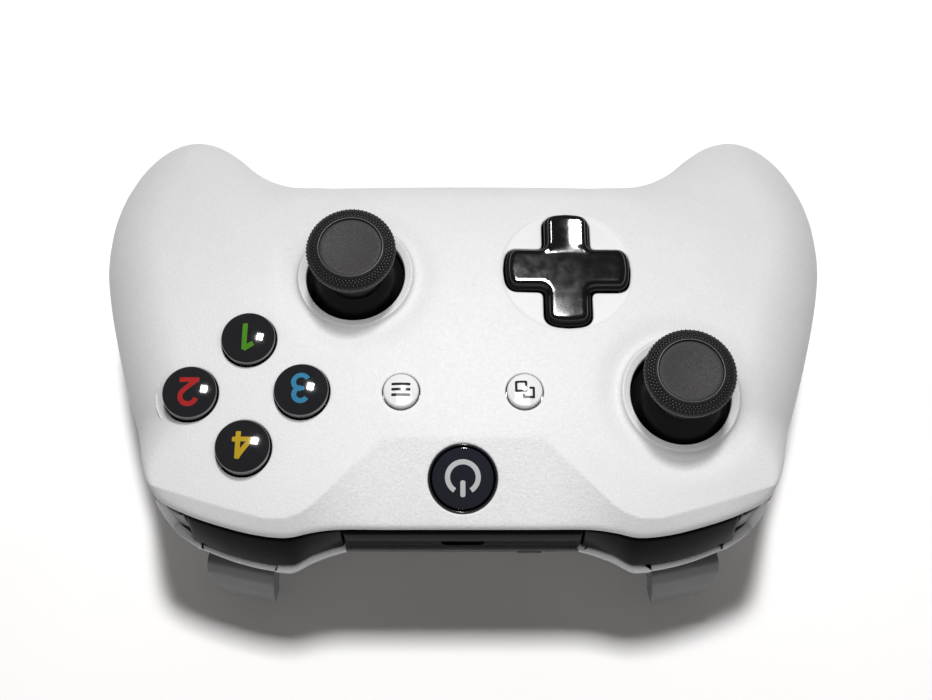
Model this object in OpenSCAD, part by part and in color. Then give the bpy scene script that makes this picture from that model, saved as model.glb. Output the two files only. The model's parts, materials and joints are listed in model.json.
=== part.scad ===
// Gamepad controller: two shells, grip covers, thumbsticks on gimbals, rocking
// direction pad, sprung buttons, bumpers, triggers, boards, motors and cells.
// Units are millimetres. X runs to the user's right, Y towards the bumpers,
// Z up from the table to the face.

/* [Body] */
// Height of the middle of the face above the table
face_h = 42; // [41.5:0.5:44]
// Wall thickness of the shells
wall = 2; // [1.8:0.1:2.2]
// Radius of the face's crown, front to back
crown_r = 190; // [170:5:260]
// Edge radius of the face along the grips
grip_r = 13.5; // [12:0.5:14.5]
// Depth of the body behind the face between the grips
back_d = 27; // [26.5:0.25:28]

/* [Thumbsticks] */
// Right stick, distance from the middle
rs_x = 21.7; // [21:0.1:22.5]
// Right stick, distance below the middle row
rs_y = -13.2; // [-14:0.1:-12.5]
// Left stick, distance from the middle
ls_x = -42.6; // [-43.5:0.1:-42]
// Left stick, distance above the middle row
ls_y = 12; // [11.5:0.1:12.5]
// Diameter of the stick cap
cap_d = 17.6; // [16.5:0.1:18.5]
// Height of the cap's rim above the face
cap_h = 12.7; // [12:0.1:13.4]
// Diameter of the raised ring around the stick
ring_d = 23.8; // [23.4:0.1:24.4]
// Diameter of the opening in the ring
ring_bore = 20.4; // [20:0.1:20.8]

/* [Buttons] */
// Middle of the four face buttons, distance from the middle
fb_x = 42.3; // [41.9:0.1:42.7]
// Middle of the four face buttons, distance above the middle row
fb_y = 11.9; // [11.5:0.1:12.3]
// Half of the distance between opposite face buttons
fb_p = 10.95; // [10.6:0.05:11.3]
// Diameter of a face button
fb_d = 10.6; // [10.4:0.1:11]
// Diameter of a menu button
mb_d = 6.9; // [6.6:0.1:7.2]
// Distance of a menu button from the middle
mb_x = 12; // [11.6:0.1:12.4]
// Diameter of the home button
hb_d = 12; // [11.7:0.1:12.3]
// Span of the direction pad
dp_w = 25; // [24.6:0.1:25.4]
// Width of one arm of the direction pad
dp_a = 9; // [8.6:0.1:9.2]
// Radial gap between a button and its hole
gap = 0.3; // [0.25:0.05:0.35]

/* [Triggers] */
// Width of a trigger
tr_w = 13.8; // [13.4:0.1:14]
// Angle of a trigger to the front edge
tr_turn = 12; // [11:0.5:14]
// Radius of the trigger pin
tr_pin = 1; // [0.9:0.05:1.05]

/* [Power] */
// Radius of a cell
cell_r = 7.2; // [7:0.05:7.25]
// Length of a cell
cell_l = 50; // [49:0.5:50.5]

/* [Hidden] */
$fn = 64;

// The face plane's place in the part's frame
y0 = 5.03;
dp_x = -21;
dp_y = -14.3;
mb_y = 12;
hb_y = 28.6;
ring_h = 0.6;
rim = 0.4;
seam = 0.2;
x_end = 76.4;
z_edge = -6.6;
pivot_d = 9;
dome_r = 12.3;
bump_top = -8.1;
bump_bot = -18;

// ---- small helpers ----
function sm(a, b, v) = let(t = min(1, max(0, (v - a) / (b - a)))) t * t * (3 - 2 * t);
function mix(a, b, t) = a + (b - a) * t;
function cr(a, b, c, d, t) = 0.5 * (2 * b + (c - a) * t + (2 * a - 5 * b + 4 * c - d) * t * t
    + (3 * b - a - 3 * c + d) * t * t * t);
function curve(P, n) = concat([for (i = [0:len(P) - 2]) for (k = [0:n - 1])
    cr(P[max(i - 1, 0)], P[i], P[i + 1], P[min(i + 2, len(P) - 1)], k / n)], [P[len(P) - 1]]);
function seg_d(p, a, b) = let(v = b - a, t = min(1, max(0, ((p - a) * v) / (v * v)))) norm(p - a - v * t);

// ---- outline of the body seen from above, right half ----
up_pts = [[0, 37.6], [14, 37.6], [24, 37.6], [29, 38.2], [34, 39.2], [40, 38.6], [46.4, 37], [52.7, 34.9],
    [58.5, 32.1], [61, 28.8], [64.6, 20], [68, 10.5], [71.3, 0], [74.2, -10.5], [76, -19], [76.5, -25]];
low_pts = [[0, -37.5], [20, -37.5], [29, -37.6], [35, -38.6], [40, -41.5], [45, -46], [50, -51.5],
    [55, -55.6], [60.6, -57], [66.5, -54.8], [71.4, -49], [74.6, -41], [76.2, -33], [76.5, -25]];
UP = curve(up_pts, 4);
LOW = curve(low_pts, 4);
RIM = concat([for (p = UP) p], [for (i = [len(LOW) - 2:-1:0]) LOW[i]]);
function up(x) = lookup(abs(x), UP);
function low(x) = lookup(abs(x), LOW);
// distance from a point to the outline
function rim_d(x, y) = let(p = [abs(x), y]) min([for (i = [0:len(RIM) - 2]) seg_d(p, RIM[i], RIM[i + 1])]);
// how far the rear shell stands out past the front shell along the bumpers
rear_add = [[0, 1.4], [23, 1.4], [30, 2.9], [34, 4.2], [46, 4], [54, 3.4], [57, 2.4], [60, 0.6], [62, 0], [77, 0]];
bump_add = [[23, 0.9], [30, 2.2], [33, 3.3], [46, 3.2], [54, 2.6], [58, 1.6]];
function up_r(x) = up(x) + lookup(abs(x), rear_add);
// upper edge of the sloped front facet and its shoulders
facet = [[0, 21.1], [15.4, 21.1], [28.4, 33.5], [31, 35.3], [34, 36.3], [38, 36.2], [48, 33.4], [56, 30.9], [60, 29.6], [62, 29], [77, 29]];

// ---- heights, measured from the face plane ----
function crown(x, y) = -y * y / (2 * crown_r) - x * x / 1400 - 0.003 * pow(max(0, -22 - y), 2);
function face_z(x, y) = let(b = lookup(abs(x), facet), u = up(x))
    (y <= b || u <= b + 0.01) ? crown(x, y) : mix(crown(x, b), z_edge, min(1, (y - b) / (u - b)));
function edge_r(x, y) = mix(mix(grip_r, 6, (1 - sm(30, 48, abs(x))) * (1 - sm(-30, -18, y))), 0.8, sm(14, 29, y));
function top_z(x, y) = let(r = edge_r(x, y), d = rim_d(x, y)) face_z(x, y) - (d < r ? r - sqrt(max(0, r * r - (r - d) * (r - d))) : 0);
function belt_z(x, y) = face_z(x, y) - edge_r(x, y) - rim;
function rear_belt(x, y) = mix(belt_z(x, y) - seam, bump_bot - 0.3, (1 - sm(57, 59.5, abs(x))) * sm(22, 27, y)) - rim;
function rear_z(x, y) = let(b = rear_belt(x, y), d = min(rim_r(x, y), 16),
    r = mix(mix(14, 8, (1 - sm(30, 48, abs(x)))), 6, sm(10, 26, y)), s = min(1, d / r),
    low_z = -back_d - (face_h - back_d) * sm(36, 50, abs(x)) * (1 - sm(-24, 4, y)))
    mix(b, low_z, sqrt(max(0, 1 - (1 - s) * (1 - s))));
RIM_R = [for (p = RIM) [p[0], p[1] + (p[1] > -20 ? lookup(p[0], rear_add) * sm(10, 24, p[1]) : 0)]];
function rim_r(x, y) = let(p = [abs(x), y]) min([for (i = [0:len(RIM_R) - 2]) seg_d(p, RIM_R[i], RIM_R[i + 1])]);
// slope of the front facet at the home button
facet_a = atan((crown(0, facet[0][1]) - z_edge) / (up(0) - facet[0][1]));
function home_z() = face_z(0, hb_y);

// ---- a thin curved shell from an outer grid of points ----
NX = 18;
NY = 14;
half_cols = concat([for (i = [1:9]) x_end * sin(90 * i / NX)], [57.2, 59.8], [for (i = [11:NX]) x_end * sin(90 * i / NX)]);
function cols() = concat([for (i = [len(half_cols) - 1:-1:0]) -half_cols[i]], [0], half_cols);
module sheet(P, Q) {
    nx = len(P) - 1;
    ny = len(P[0]) - 1;
    nn = (nx + 1) * (ny + 1);
    loop = concat([for (i = [0:nx]) [i, 0]], [for (j = [1:ny]) [nx, j]],
        [for (i = [nx - 1:-1:0]) [i, ny]], [for (j = [ny - 1:-1:1]) [0, j]]);
    m = len(loop);
    pts = concat([for (i = [0:nx]) for (j = [0:ny]) P[i][j]], [for (i = [0:nx]) for (j = [0:ny]) Q[i][j]],
        [for (k = loop) let(p = P[k[0]][k[1]]) [p[0], p[1], p[2] - rim]]);
    function o(i, j) = i * (ny + 1) + j;
    faces = concat(
        [for (i = [0:nx - 1]) for (j = [0:ny - 1]) each [[o(i, j), o(i, j + 1), o(i + 1, j + 1)], [o(i, j), o(i + 1, j + 1), o(i + 1, j)]]],
        [for (i = [0:nx - 1]) for (j = [0:ny - 1]) each [[nn + o(i, j), nn + o(i + 1, j + 1), nn + o(i, j + 1)], [nn + o(i, j), nn + o(i + 1, j), nn + o(i + 1, j + 1)]]],
        [for (k = [0:m - 1]) let(a = loop[k], b = loop[(k + 1) % m], a2 = 2 * nn + k, b2 = 2 * nn + (k + 1) % m,
            oa = o(a[0], a[1]), ob = o(b[0], b[1]))
            each [[oa, ob, b2], [oa, b2, a2], [a2, b2, nn + ob], [a2, nn + ob, nn + oa]]]);
    polyhedron(points = pts, faces = faces, convexity = 8);
}
function inset(x, y, u, l) = let(c = (u + l) / 2, h = (u - l) / 2) [x * (1 - wall / x_end), c + (y - c) * max(0.2, (h - wall) / h)];
module front_skin() {
    P = [for (x = cols()) let(u = up(x), l = low(x)) [for (j = [0:NY]) let(y = mix(l, u, 0.5 - 0.5 * cos(180 * j / NY)))
        [x, y, abs(x) > x_end - 0.01 ? belt_z(x, y) + rim : top_z(x, y)]]];
    nx = len(P) - 1;
    Q = [for (i = [0:nx]) let(x = P[i][0][0], u = up(x), l = low(x)) [for (j = [0:NY])
        let(p = P[i][j], q = inset(p[0], p[1], u, l), e = (i == 0 || i == nx || j == 0 || j == NY))
        [q[0], q[1], e ? p[2] - rim : p[2] - wall]]];
    sheet(P, Q);
}
module rear_skin() {
    P = [for (x = cols()) let(u = up_r(x), l = low(x)) [for (j = [0:NY]) let(y = mix(l, u, 0.5 - 0.5 * cos(180 * j / NY)))
        [x, y, abs(x) > x_end - 0.01 ? -rear_belt(x, y) : -rear_z(x, y)]]];
    nx = len(P) - 1;
    Q = [for (i = [0:nx]) let(x = P[i][0][0], u = up_r(x), l = low(x)) [for (j = [0:NY])
        let(p = P[i][j], q = inset(p[0], p[1], u, l), e = (i == 0 || i == nx || j == 0 || j == NY))
        [q[0], q[1], e ? p[2] - rim : p[2] - wall]]];
    mirror([0, 0, 1]) sheet(P, Q);
}

// ---- placing ----
module place() translate([0, y0, face_h]) children();
module at_face(x, y) translate([x, y, crown(x, y)]) children();
module at_home() translate([0, hb_y, home_z()]) rotate([-facet_a, 0, 0]) children();
module right_trig() translate([44.5, 41.6, 0]) rotate([0, 0, -tr_turn]) children();
module left_trig() mirror([1, 0, 0]) right_trig() children();
module plate(P, z, h) translate([0, 0, z]) linear_extrude(h) polygon(P);
module rsquare(x0, x1, ya, yb, r) {
    translate([x0 + r, ya]) square([x1 - x0 - 2 * r, yb - ya]);
    translate([x0, ya + r]) square([x1 - x0, yb - ya - 2 * r]);
    for (x = [x0 + r, x1 - r]) for (y = [ya + r, yb - r]) translate([x, y]) circle(r);
}
face_btn = [[fb_x, fb_y - fb_p], [fb_x + fb_p, fb_y], [fb_x - fb_p, fb_y], [fb_x, fb_y + fb_p]];
posts = [[38, -29], [-38, -29], [24, 24.5], [-24, 24.5]];
module drill(P, r, z, h) for (p = P) translate([p[0], p[1], z]) cylinder(r = r, h = h);

// ---- shells ----
module dpad_cross(w, a, z, h) intersection() {
    translate([0, 0, z]) cylinder(d = w, h = h);
    union() {
        translate([-w, -a / 2, z]) cube([2 * w, a, h]);
        translate([-a / 2, -w, z]) cube([a, 2 * w, h]);
    }
}
module front_shell() color("white") place() difference() {
    union() {
        front_skin();
        for (s = [[rs_x, rs_y], [ls_x, ls_y]]) at_face(s[0], s[1]) translate([0, 0, -2.2]) cylinder(d = ring_d, h = 2.2 + ring_h);
        for (p = posts) translate([p[0], p[1], -20]) cylinder(r = 3, h = 20 + crown(p[0], p[1]) - 1);
    }
    for (s = [[rs_x, rs_y], [ls_x, ls_y]]) at_face(s[0], s[1]) {
        translate([0, 0, -6]) cylinder(d = ring_bore, h = 12);
        translate([0, 0, ring_h - 0.55]) cylinder(d1 = ring_bore - 0.1, d2 = ring_d - 0.6, h = 0.6);
        translate([0, 0, -pivot_d]) sphere(dome_r + 0.35);
    }
    at_face(dp_x, dp_y) dpad_cross(dp_w + 1.4, dp_a + 1.4, -6, 12);
    for (b = face_btn) at_face(b[0], b[1]) translate([0, 0, -6]) cylinder(d = fb_d + 2 * gap, h = 12);
    for (s = [-1, 1]) at_face(s * mb_x, mb_y) translate([0, 0, -6]) cylinder(d = mb_d + 2 * gap, h = 12);
    at_home() translate([0, 0, -7]) cylinder(d = hb_d + 1.46, h = 12);
    drill(posts, 1.2, -21, 12);
}
// plan of the right grip cover
grip_plan = [[33, -62], [37, -30], [41, -8], [48, 8], [56, 17], [84, 17], [84, -62]];
module grip_zone(d) translate([0, 0, -60]) linear_extrude(70) offset(delta = d) polygon(grip_plan);
module trig_open() right_trig() translate([-tr_w / 2 - 0.4, -11.6, -60]) cube([tr_w + 0.8, 30, 60 - 20.6]);
module rear_shell() color("white") place() {
        difference() {
            rear_skin();
            for (m = [0, 1]) mirror([m, 0, 0]) { grip_zone(0.1); trig_open(); }
            translate([-30.5, -20.5, -40]) cube([61, 37, 30]);
            translate([-16.5, 30, -21.4]) cube([6.4, 20, 2.4]);
            translate([8, -30, -15.3]) rotate([90, 0, 0]) cylinder(r = 3, h = 20);
            translate([3.5, -35.6, -18.4]) cube([9, 12, 6.2]);
            translate([-13.4, -50, -17.9]) cube([12.8, 16, 5.2]);
        }
        // cheek that closes the opening past the end of each bumper
        for (m = [0, 1]) mirror([m, 0, 0]) plate([[53.95, 29.5], [53.95, 35], [55.5, 34.3], [57.2, 33.3], [58.4, 31.9], [57.4, 29.5]], -18.5, 10.3);
        difference() {
            translate([-32, -22, -25.6]) cube([64, 40, 2.8]);
            translate([-30.5, -20.5, -28]) cube([61, 37, 4]);
        }
}
module left_grip_cover() color("white") mirror([1, 0, 0]) right_grip();
module right_grip_cover() color("white") right_grip();
module right_grip() place() intersection() {
    rear_skin();
    grip_zone(-0.1);
}
module battery_door() color("white") place() difference() {
    union() {
        translate([0, 0, -face_h + 1.4]) linear_extrude(face_h - 1.4 - back_d - 0.3) rsquare(-33, 33, -23, 19, 9);
        translate([0, 0, -face_h + 0.5]) linear_extrude(1) rsquare(-32.2, 32.2, -22.2, 18.2, 8.2);
        translate([0, 0, -face_h]) linear_extrude(1) rsquare(-31.2, 31.2, -21.2, 17.2, 7.2);
    }
    translate([0, 0, -face_h + 1.9]) linear_extrude(20) rsquare(-31.1, 31.1, -21.1, 17.1, 7.1);
}
module bumper_trim() color([0.03, 0.03, 0.05]) place() difference() {
    translate([-23.1, 0, 0]) rotate([90, 0, 90]) linear_extrude(46.2)
        polygon([[34.3, -8.9], [35.9, -8.9], [36.6, bump_top], [37.3, bump_top], [38.2, -9.2], [38.7, -12.5], [38.7, -16.8], [38.3, bump_bot], [34.3, bump_bot]]);
    translate([-4.2, 30, -15.6]) cube([8.4, 12, 3.3]);
}
module home_bezel() color("silver") place() at_home() translate([0, 0, -1.6]) difference() {
    cylinder(d = hb_d + 1.4, h = 1.75);
    translate([0, 0, -1]) cylinder(d = hb_d + 2 * gap, h = 4);
}

// ---- bumpers ----
module right_bump() {
    X = [for (i = [0:14]) 23.5 + (53.6 - 23.5) * i / 14];
    function sec(x) = let(u = up(x), a = lookup(x, bump_add)) [[x, u - 5.5, bump_top], [x, u - 0.5, bump_top], [x, u + a * 0.12, bump_top - 0.7],
        [x, u + a, bump_bot + 1.2], [x, u + a - 0.5, bump_bot], [x, u - 5.5, bump_bot]];
    n = len(X);
    pts = [for (x = X) each sec(x)];
    faces = concat([[0, 1, 2, 3, 4, 5]], [[for (k = [5:-1:0]) (n - 1) * 6 + k]],
        [for (i = [0:n - 2]) for (k = [0:5]) let(a = i * 6 + k, b = i * 6 + (k + 1) % 6)
            each [[a, a + 6, b + 6], [a, b + 6, b]]]);
    polyhedron(points = pts, faces = faces, convexity = 4);
}
module left_bumper() color([0.03, 0.03, 0.05]) place() mirror([1, 0, 0]) right_bump();
module right_bumper() color([0.03, 0.03, 0.05]) place() right_bump();
module bumper_switches() color("dimgray") place() for (s = [-1, 1]) translate([s * 40 - 3, 27.6, -16.6]) cube([6, 3.3, 3.9]);

// ---- triggers ----
trig_y = -8;
trig_z = -22.5;
trig_side = [[-10.6, -21], [-9, -20.3], [-6.5, -20.3], [-2.6, -21], [0.2, -21.2], [1.9, -24], [3.3, -28], [4, -32],
    [3.7, -33.4], [2.3, -33.8], [0.9, -31], [-0.6, -27.8], [-2.6, -26], [-6, -25.3], [-10, -25], [-10.8, -23]];
module trig_x(x0, l, r) translate([x0, trig_y, trig_z]) rotate([0, 90, 0]) cylinder(r = r, h = l);
module trig_body() difference() {
    translate([-tr_w / 2, 0, 0]) rotate([90, 0, 90]) linear_extrude(tr_w) polygon(trig_side);
    trig_x(-tr_w, 2 * tr_w, tr_pin + 0.05);
    trig_x(-2.6, 5.2, 2.15);
    // outer lower corner slopes back to the hand
    translate([tr_w / 2 + 0.2, 0, -24]) rotate([0, 24, 0]) translate([0, -20, -30]) cube([20, 40, 30]);
}
module left_trigger() color("lightgray") place() left_trig() trig_body();
module right_trigger() color("lightgray") place() right_trig() trig_body();
module trigger_pins() color("silver") place() { right_trig() trig_x(-8.9, 17.8, tr_pin); left_trig() trig_x(-8.9, 17.8, tr_pin); }
module spring_coils() for (x = [-1.8:0.9:1.8]) translate([x, trig_y, trig_z]) rotate([0, 90, 0])
    rotate_extrude() translate([1.5, 0]) circle(r = 0.32, $fn = 24);
module trigger_springs() color("gray") place() { right_trig() spring_coils(); left_trig() spring_coils(); }

// ---- thumbsticks, each about its own pivot ----
module at_stick(x, y) place() at_face(x, y) translate([0, 0, -pivot_d]) children();
module stick() {
    top = pivot_d + cap_h;
    translate([0, 0, -3]) cylinder(r = 1.5, h = 18.5);
    difference() {
        sphere(dome_r);
        sphere(dome_r - 1.2);
        translate([0, 0, -20]) cylinder(r = 20, h = 23);
    }
    translate([0, 0, 11.15]) cylinder(r1 = 5.6, r2 = 4.7, h = 4.4);
    rotate_extrude() polygon([[0, 14.8], [6.6, 14.8], [7.4, 15.6], [8.4, 18.2], [cap_d / 2, top - 1.9], [cap_d / 2, top - 1.3], [cap_d / 2 - 0.3, top - 0.7],
        [cap_d / 2 - 1.1, top - 0.2], [6.4, top], [6.05, top - 0.4], [4, top - 0.6], [0, top - 0.75]]);
}
module stick_pivot() difference() {
    union() {
        translate([-2.5, -2.6, -2]) cube([5, 5.2, 4]);
        rotate([90, 0, 0]) cylinder(r = 0.75, h = 11.2, center = true);
    }
    cylinder(r = 1.55, h = 20, center = true);
}
module stick_gimbal() difference() {
    union() {
        difference() {
            translate([-5.7, -5.7, -1.5]) cube([11.4, 11.4, 3]);
            translate([-4.2, -4.2, -5]) cube([8.4, 8.4, 10]);
        }
        for (s = [-1, 1]) translate([s * 5.5, 0, 0]) rotate([0, s * 90, 0]) cylinder(r = 1, h = 1.4);
    }
    rotate([90, 0, 0]) cylinder(r = 0.8, h = 40, center = true);
}
module stick_module(c) difference() {
    translate([-7, -7, -18 - c + pivot_d]) cube([14, 14, 18 + c - pivot_d + 2.5]);
    translate([-6.2, -6.2, -5.5]) cube([12.4, 12.4, 20]);
    rotate([0, 90, 0]) cylinder(r = 1.05, h = 40, center = true);
}
module left_thumbstick() color([0.07, 0.07, 0.07]) at_stick(ls_x, ls_y) stick();
module left_stick_pivot() color("silver") at_stick(ls_x, ls_y) stick_pivot();
module left_stick_gimbal() color("dimgray") at_stick(ls_x, ls_y) stick_gimbal();
module left_stick_module() color("gray") at_stick(ls_x, ls_y) stick_module(crown(ls_x, ls_y));
module right_thumbstick() color([0.07, 0.07, 0.07]) at_stick(rs_x, rs_y) stick();
module right_stick_pivot() color("silver") at_stick(rs_x, rs_y) stick_pivot();
module right_stick_gimbal() color("dimgray") at_stick(rs_x, rs_y) stick_gimbal();
module right_stick_module() color("gray") at_stick(rs_x, rs_y) stick_module(crown(rs_x, rs_y));

// ---- direction pad rocking on a ball ----
ball_z = -4.2;
module dpad() color([0.03, 0.03, 0.03]) place() at_face(dp_x, dp_y) difference() {
    union() {
        dpad_cross(dp_w, dp_a, -1.6, 2);
        dpad_cross(dp_w - 1.2, dp_a - 1.5, 0.3, 1.7);
        translate([0, 0, -3.9]) cylinder(r = 4.2, h = 3);
    }
    translate([0, 0, 2 + 39.3]) sphere(40);
    translate([0, 0, ball_z]) sphere(2.45);
}
module dpad_ball() color("silver") place() at_face(dp_x, dp_y) translate([0, 0, ball_z]) sphere(2.4);
module dpad_post() color("dimgray") place() difference() {
    translate([dp_x, dp_y, -11.2]) cylinder(r = 3.2, h = 11.2 + crown(dp_x, dp_y) + ball_z - 0.5);
    at_face(dp_x, dp_y) translate([0, 0, ball_z]) sphere(2.45);
}

// ---- buttons ----
module domed(d, zb, zs, h) let(r = d / 2, R = (r * r + h * h) / (2 * h)) intersection() {
    translate([0, 0, zb]) cylinder(d = d, h = zs - zb + h);
    translate([0, 0, zs + h - R]) sphere(R, $fn = 128);
}
// the retaining tab points to the middle of the cluster
module face_button(a) {
    domed(fb_d, -3.6, 1.4, 1);
    translate([0, 0, -4.2]) cylinder(d = fb_d - 0.6, h = 1);
    rotate(a) intersection() {
        translate([0, 0, -4.2]) cylinder(d = fb_d + 2.2, h = 1);
        translate([1, -5, -5]) cube([10, 10, 4]);
    }
}
module button_south() color("black") place() at_face(face_btn[0][0], face_btn[0][1]) face_button(90);
module button_east() color("black") place() at_face(face_btn[1][0], face_btn[1][1]) face_button(180);
module button_west() color("black") place() at_face(face_btn[2][0], face_btn[2][1]) face_button(0);
module button_north() color("black") place() at_face(face_btn[3][0], face_btn[3][1]) face_button(-90);
module button_mat() color("lightgray") place() {
    translate([0, 0, -11.15]) linear_extrude(0.6) translate([fb_x, fb_y]) intersection() { square(34, center = true); rotate(45) square(27, center = true); }
    for (b = face_btn) translate([b[0], b[1], -10.6]) cylinder(r1 = 4.4, r2 = 3.2, h = 10.6 + crown(b[0], b[1]) - 6);
}
module menu_cap() {
    domed(mb_d, -3, 0.7, 0.7);
    translate([0, 0, -3.8]) cylinder(d = mb_d + 1.6, h = 1);
}
module view_button() color("whitesmoke") place() at_face(-mb_x, mb_y) menu_cap();
module menu_button() color("whitesmoke") place() at_face(mb_x, mb_y) menu_cap();
module home_button() color([0.02, 0.03, 0.07]) place() at_home() {
    domed(hb_d, -2.6, -0.3, 0.5);
    translate([0, 0, -3.4]) cylinder(d = hb_d - 1.2, h = 1);
}
module pairing_button() color("dimgray") place() translate([-13.3, 34.6, -20.2]) rotate([-90, 0, 0]) linear_extrude(4.5) {
    square([3.6, 1.7], center = true);
    for (s = [-1, 1]) translate([s * 1.8, 0]) circle(r = 0.85);
}
module pairing_switch() color("gray") place() translate([-15.3, 31.6, -22]) cube([4, 2.3, 3.4]);

// ---- boards and frame ----
module button_board() color("darkgreen") place() difference() {
    plate([[46, 29.4], [34, 31], [-34, 31], [-46, 29.4], [-46, 26.8], [-27, 26.8], [-27, -4], [-41.5, -4], [-41.5, -32], [41.5, -32],
        [41.5, -3], [57, 0], [57, 23], [46, 26]], -12.6, 1.4);
    translate([rs_x, rs_y, -15]) cylinder(r = 14, h = 6);
    translate([ls_x, ls_y, -15]) cylinder(r = 14, h = 6);
    drill(posts, 3.3, -15, 6);
}
module main_board() color("darkgreen") place() difference() {
    plate([[36, 19.6], [36, -31], [-36, -31], [-36, 3.5], [-51.5, 3.5], [-51.5, 19.6]], -19.65, 1.6);
    drill(posts, 3.3, -22, 6);
    drill(board_scr, 1.1, -22, 6);
}
board_scr = [[6, 12], [-6, 12], [30, -26], [-30, -26]];
module ear(x) translate([x, -13.4, -23.8]) cube([1.4, 7.4, 3.6]);
module mid_frame() color("gray") place() difference() {
    union() {
        plate([[31, 34.5], [24.5, 34.5], [22, 30], [-22, 30], [-24.5, 34.5], [-31, 34.5], [-34, 24], [-34, -22], [-42, -26], [-42, -32],
            [42, -32], [42, -26], [34, -22], [34, 24]], -22.2, 1.6);
        for (m = [0, 1]) mirror([m, 0, 0]) right_trig() {
            translate([-16, -13.4, -22.2]) cube([24.8, 1.6, 1.6]);
            ear(-8.8);
            ear(7.4);
        }
    }
    for (m = [0, 1]) mirror([m, 0, 0]) right_trig() trig_x(-12, 24, tr_pin + 0.02);
    drill(posts, 1.3, -30, 20);
    drill(board_scr, 1.02, -30, 20);
}

// ---- motors ----
module motor(r, h) { cylinder(r = r, h = h); translate([0, 0, h - 0.5]) cylinder(r = 0.8, h = 6.5); }
module weight(r, h) difference() {
    union() { cylinder(r = 2.2, h = h); intersection() { cylinder(r = r, h = h); translate([-r, 0, 0]) cube([2 * r, r, h]); } }
    translate([0, 0, -1]) cylinder(r = 0.85, h = h + 2);
}
module left_motor() color("silver") place() translate([-57, -29, -34]) motor(6, 12);
module right_motor() color("silver") place() translate([57, -29, -34]) motor(6, 12);
module left_motor_weight() color("gray") place() translate([-57, -29, -21.2]) weight(9, 4.5);
module right_motor_weight() color("gray") place() translate([57, -29, -21.2]) weight(7.5, 4.5);
module at_trig_motor(s) translate([s * 39.5, 23.5, -16.6]) rotate([0, s * 90, 0]) children();
module left_trigger_motor() color("silver") place() at_trig_motor(-1) motor(3.6, 9);
module right_trigger_motor() color("silver") place() at_trig_motor(1) motor(3.6, 9);
module left_trigger_weight() color("gray") place() at_trig_motor(-1) translate([0, 0, 9.5]) weight(3.5, 4);
module right_trigger_weight() color("gray") place() at_trig_motor(1) translate([0, 0, 9.5]) weight(3.5, 4);

// ---- sockets ----
module usb_port() color("silver") place() difference() {
    translate([-3.9, 31.5, -15.4]) cube([7.8, 6.6, 2.9]);
    translate([-3.5, 32.5, -15.05]) cube([7, 6.6, 2.2]);
}
module headset_jack() color([0.1, 0.1, 0.1]) place() difference() {
    translate([4, -35.2, -17.9]) cube([8, 13.2, 5.2]);
    translate([8, -23.2, -15.3]) rotate([90, 0, 0]) cylinder(r = 1.75, h = 20);
}
module expansion_port() color([0.1, 0.1, 0.1]) place() difference() {
    translate([-13, -35.2, -17.9]) cube([12, 7.2, 5]);
    translate([-11.8, -40, -16.8]) cube([9.6, 10.5, 2.8]);
}

// ---- cells ----
module cell(s) {
    translate([-s * cell_l / 2, 0, 0]) rotate([0, s * 90, 0]) {
        cylinder(r = cell_r, h = cell_l - 1.4);
        cylinder(r = 2.7, h = cell_l);
    }
}
module front_cell() color("slategray") place() translate([0, 5.7, -32.3]) cell(1);
module rear_cell() color("slategray") place() translate([0, -9.7, -32.3]) cell(-1);
module contact(s) {
    translate([s * 29.3 - 0.25, -4, -5.5]) cube([0.5, 8, 13.8]);
    for (k = [0:2]) translate([s * (28.5 - k * 1.1), 0, 0]) rotate([0, 90, 0]) rotate_extrude() translate([3.4 - k * 0.5, 0]) circle(r = 0.4, $fn = 24);
}
module battery_contacts() color("gold") place() for (s = [-1, 1]) for (y = [5.7, -9.7]) translate([0, y, -32.3]) contact(s);

// ---- fasteners ----
module shell_screws() color("silver") place() for (p = posts) translate([p[0], p[1], 0]) {
    translate([0, 0, -24.1]) cylinder(r = 2.2, h = 1.8);
    translate([0, 0, -23]) cylinder(r = 1.15, h = 13);
}
module board_screws() color("silver") place() for (p = board_scr) translate([p[0], p[1], 0]) {
    translate([0, 0, -18]) cylinder(r = 1.9, h = 1.3);
    translate([0, 0, -22]) cylinder(r = 1, h = 5);
}

front_shell();
rear_shell();
left_grip_cover();
right_grip_cover();
battery_door();
bumper_trim();
home_bezel();
left_bumper();
right_bumper();
left_trigger();
right_trigger();
trigger_pins();
trigger_springs();
left_thumbstick();
left_stick_pivot();
left_stick_gimbal();
left_stick_module();
right_thumbstick();
right_stick_pivot();
right_stick_gimbal();
right_stick_module();
dpad();
dpad_ball();
dpad_post();
button_south();
button_east();
button_west();
button_north();
button_mat();
view_button();
menu_button();
home_button();
pairing_button();
pairing_switch();
button_board();
main_board();
mid_frame();
bumper_switches();
left_motor();
right_motor();
left_motor_weight();
right_motor_weight();
left_trigger_motor();
right_trigger_motor();
left_trigger_weight();
right_trigger_weight();
usb_port();
headset_jack();
expansion_port();
front_cell();
rear_cell();
battery_contacts();
shell_screws();
board_screws();
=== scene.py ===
"""Looks of the gamepad controller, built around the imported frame.

Lengths in the helpers are millimetres in the face frame: X to the user's right,
Y towards the bumpers, Z up from the middle of the face. to_m() turns them into
the shared frame in metres.
"""

import json
import math

import bmesh
import bpy
import numpy as np
from mathutils import Matrix, Vector
from mathutils.geometry import delaunay_2d_cdt


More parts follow.
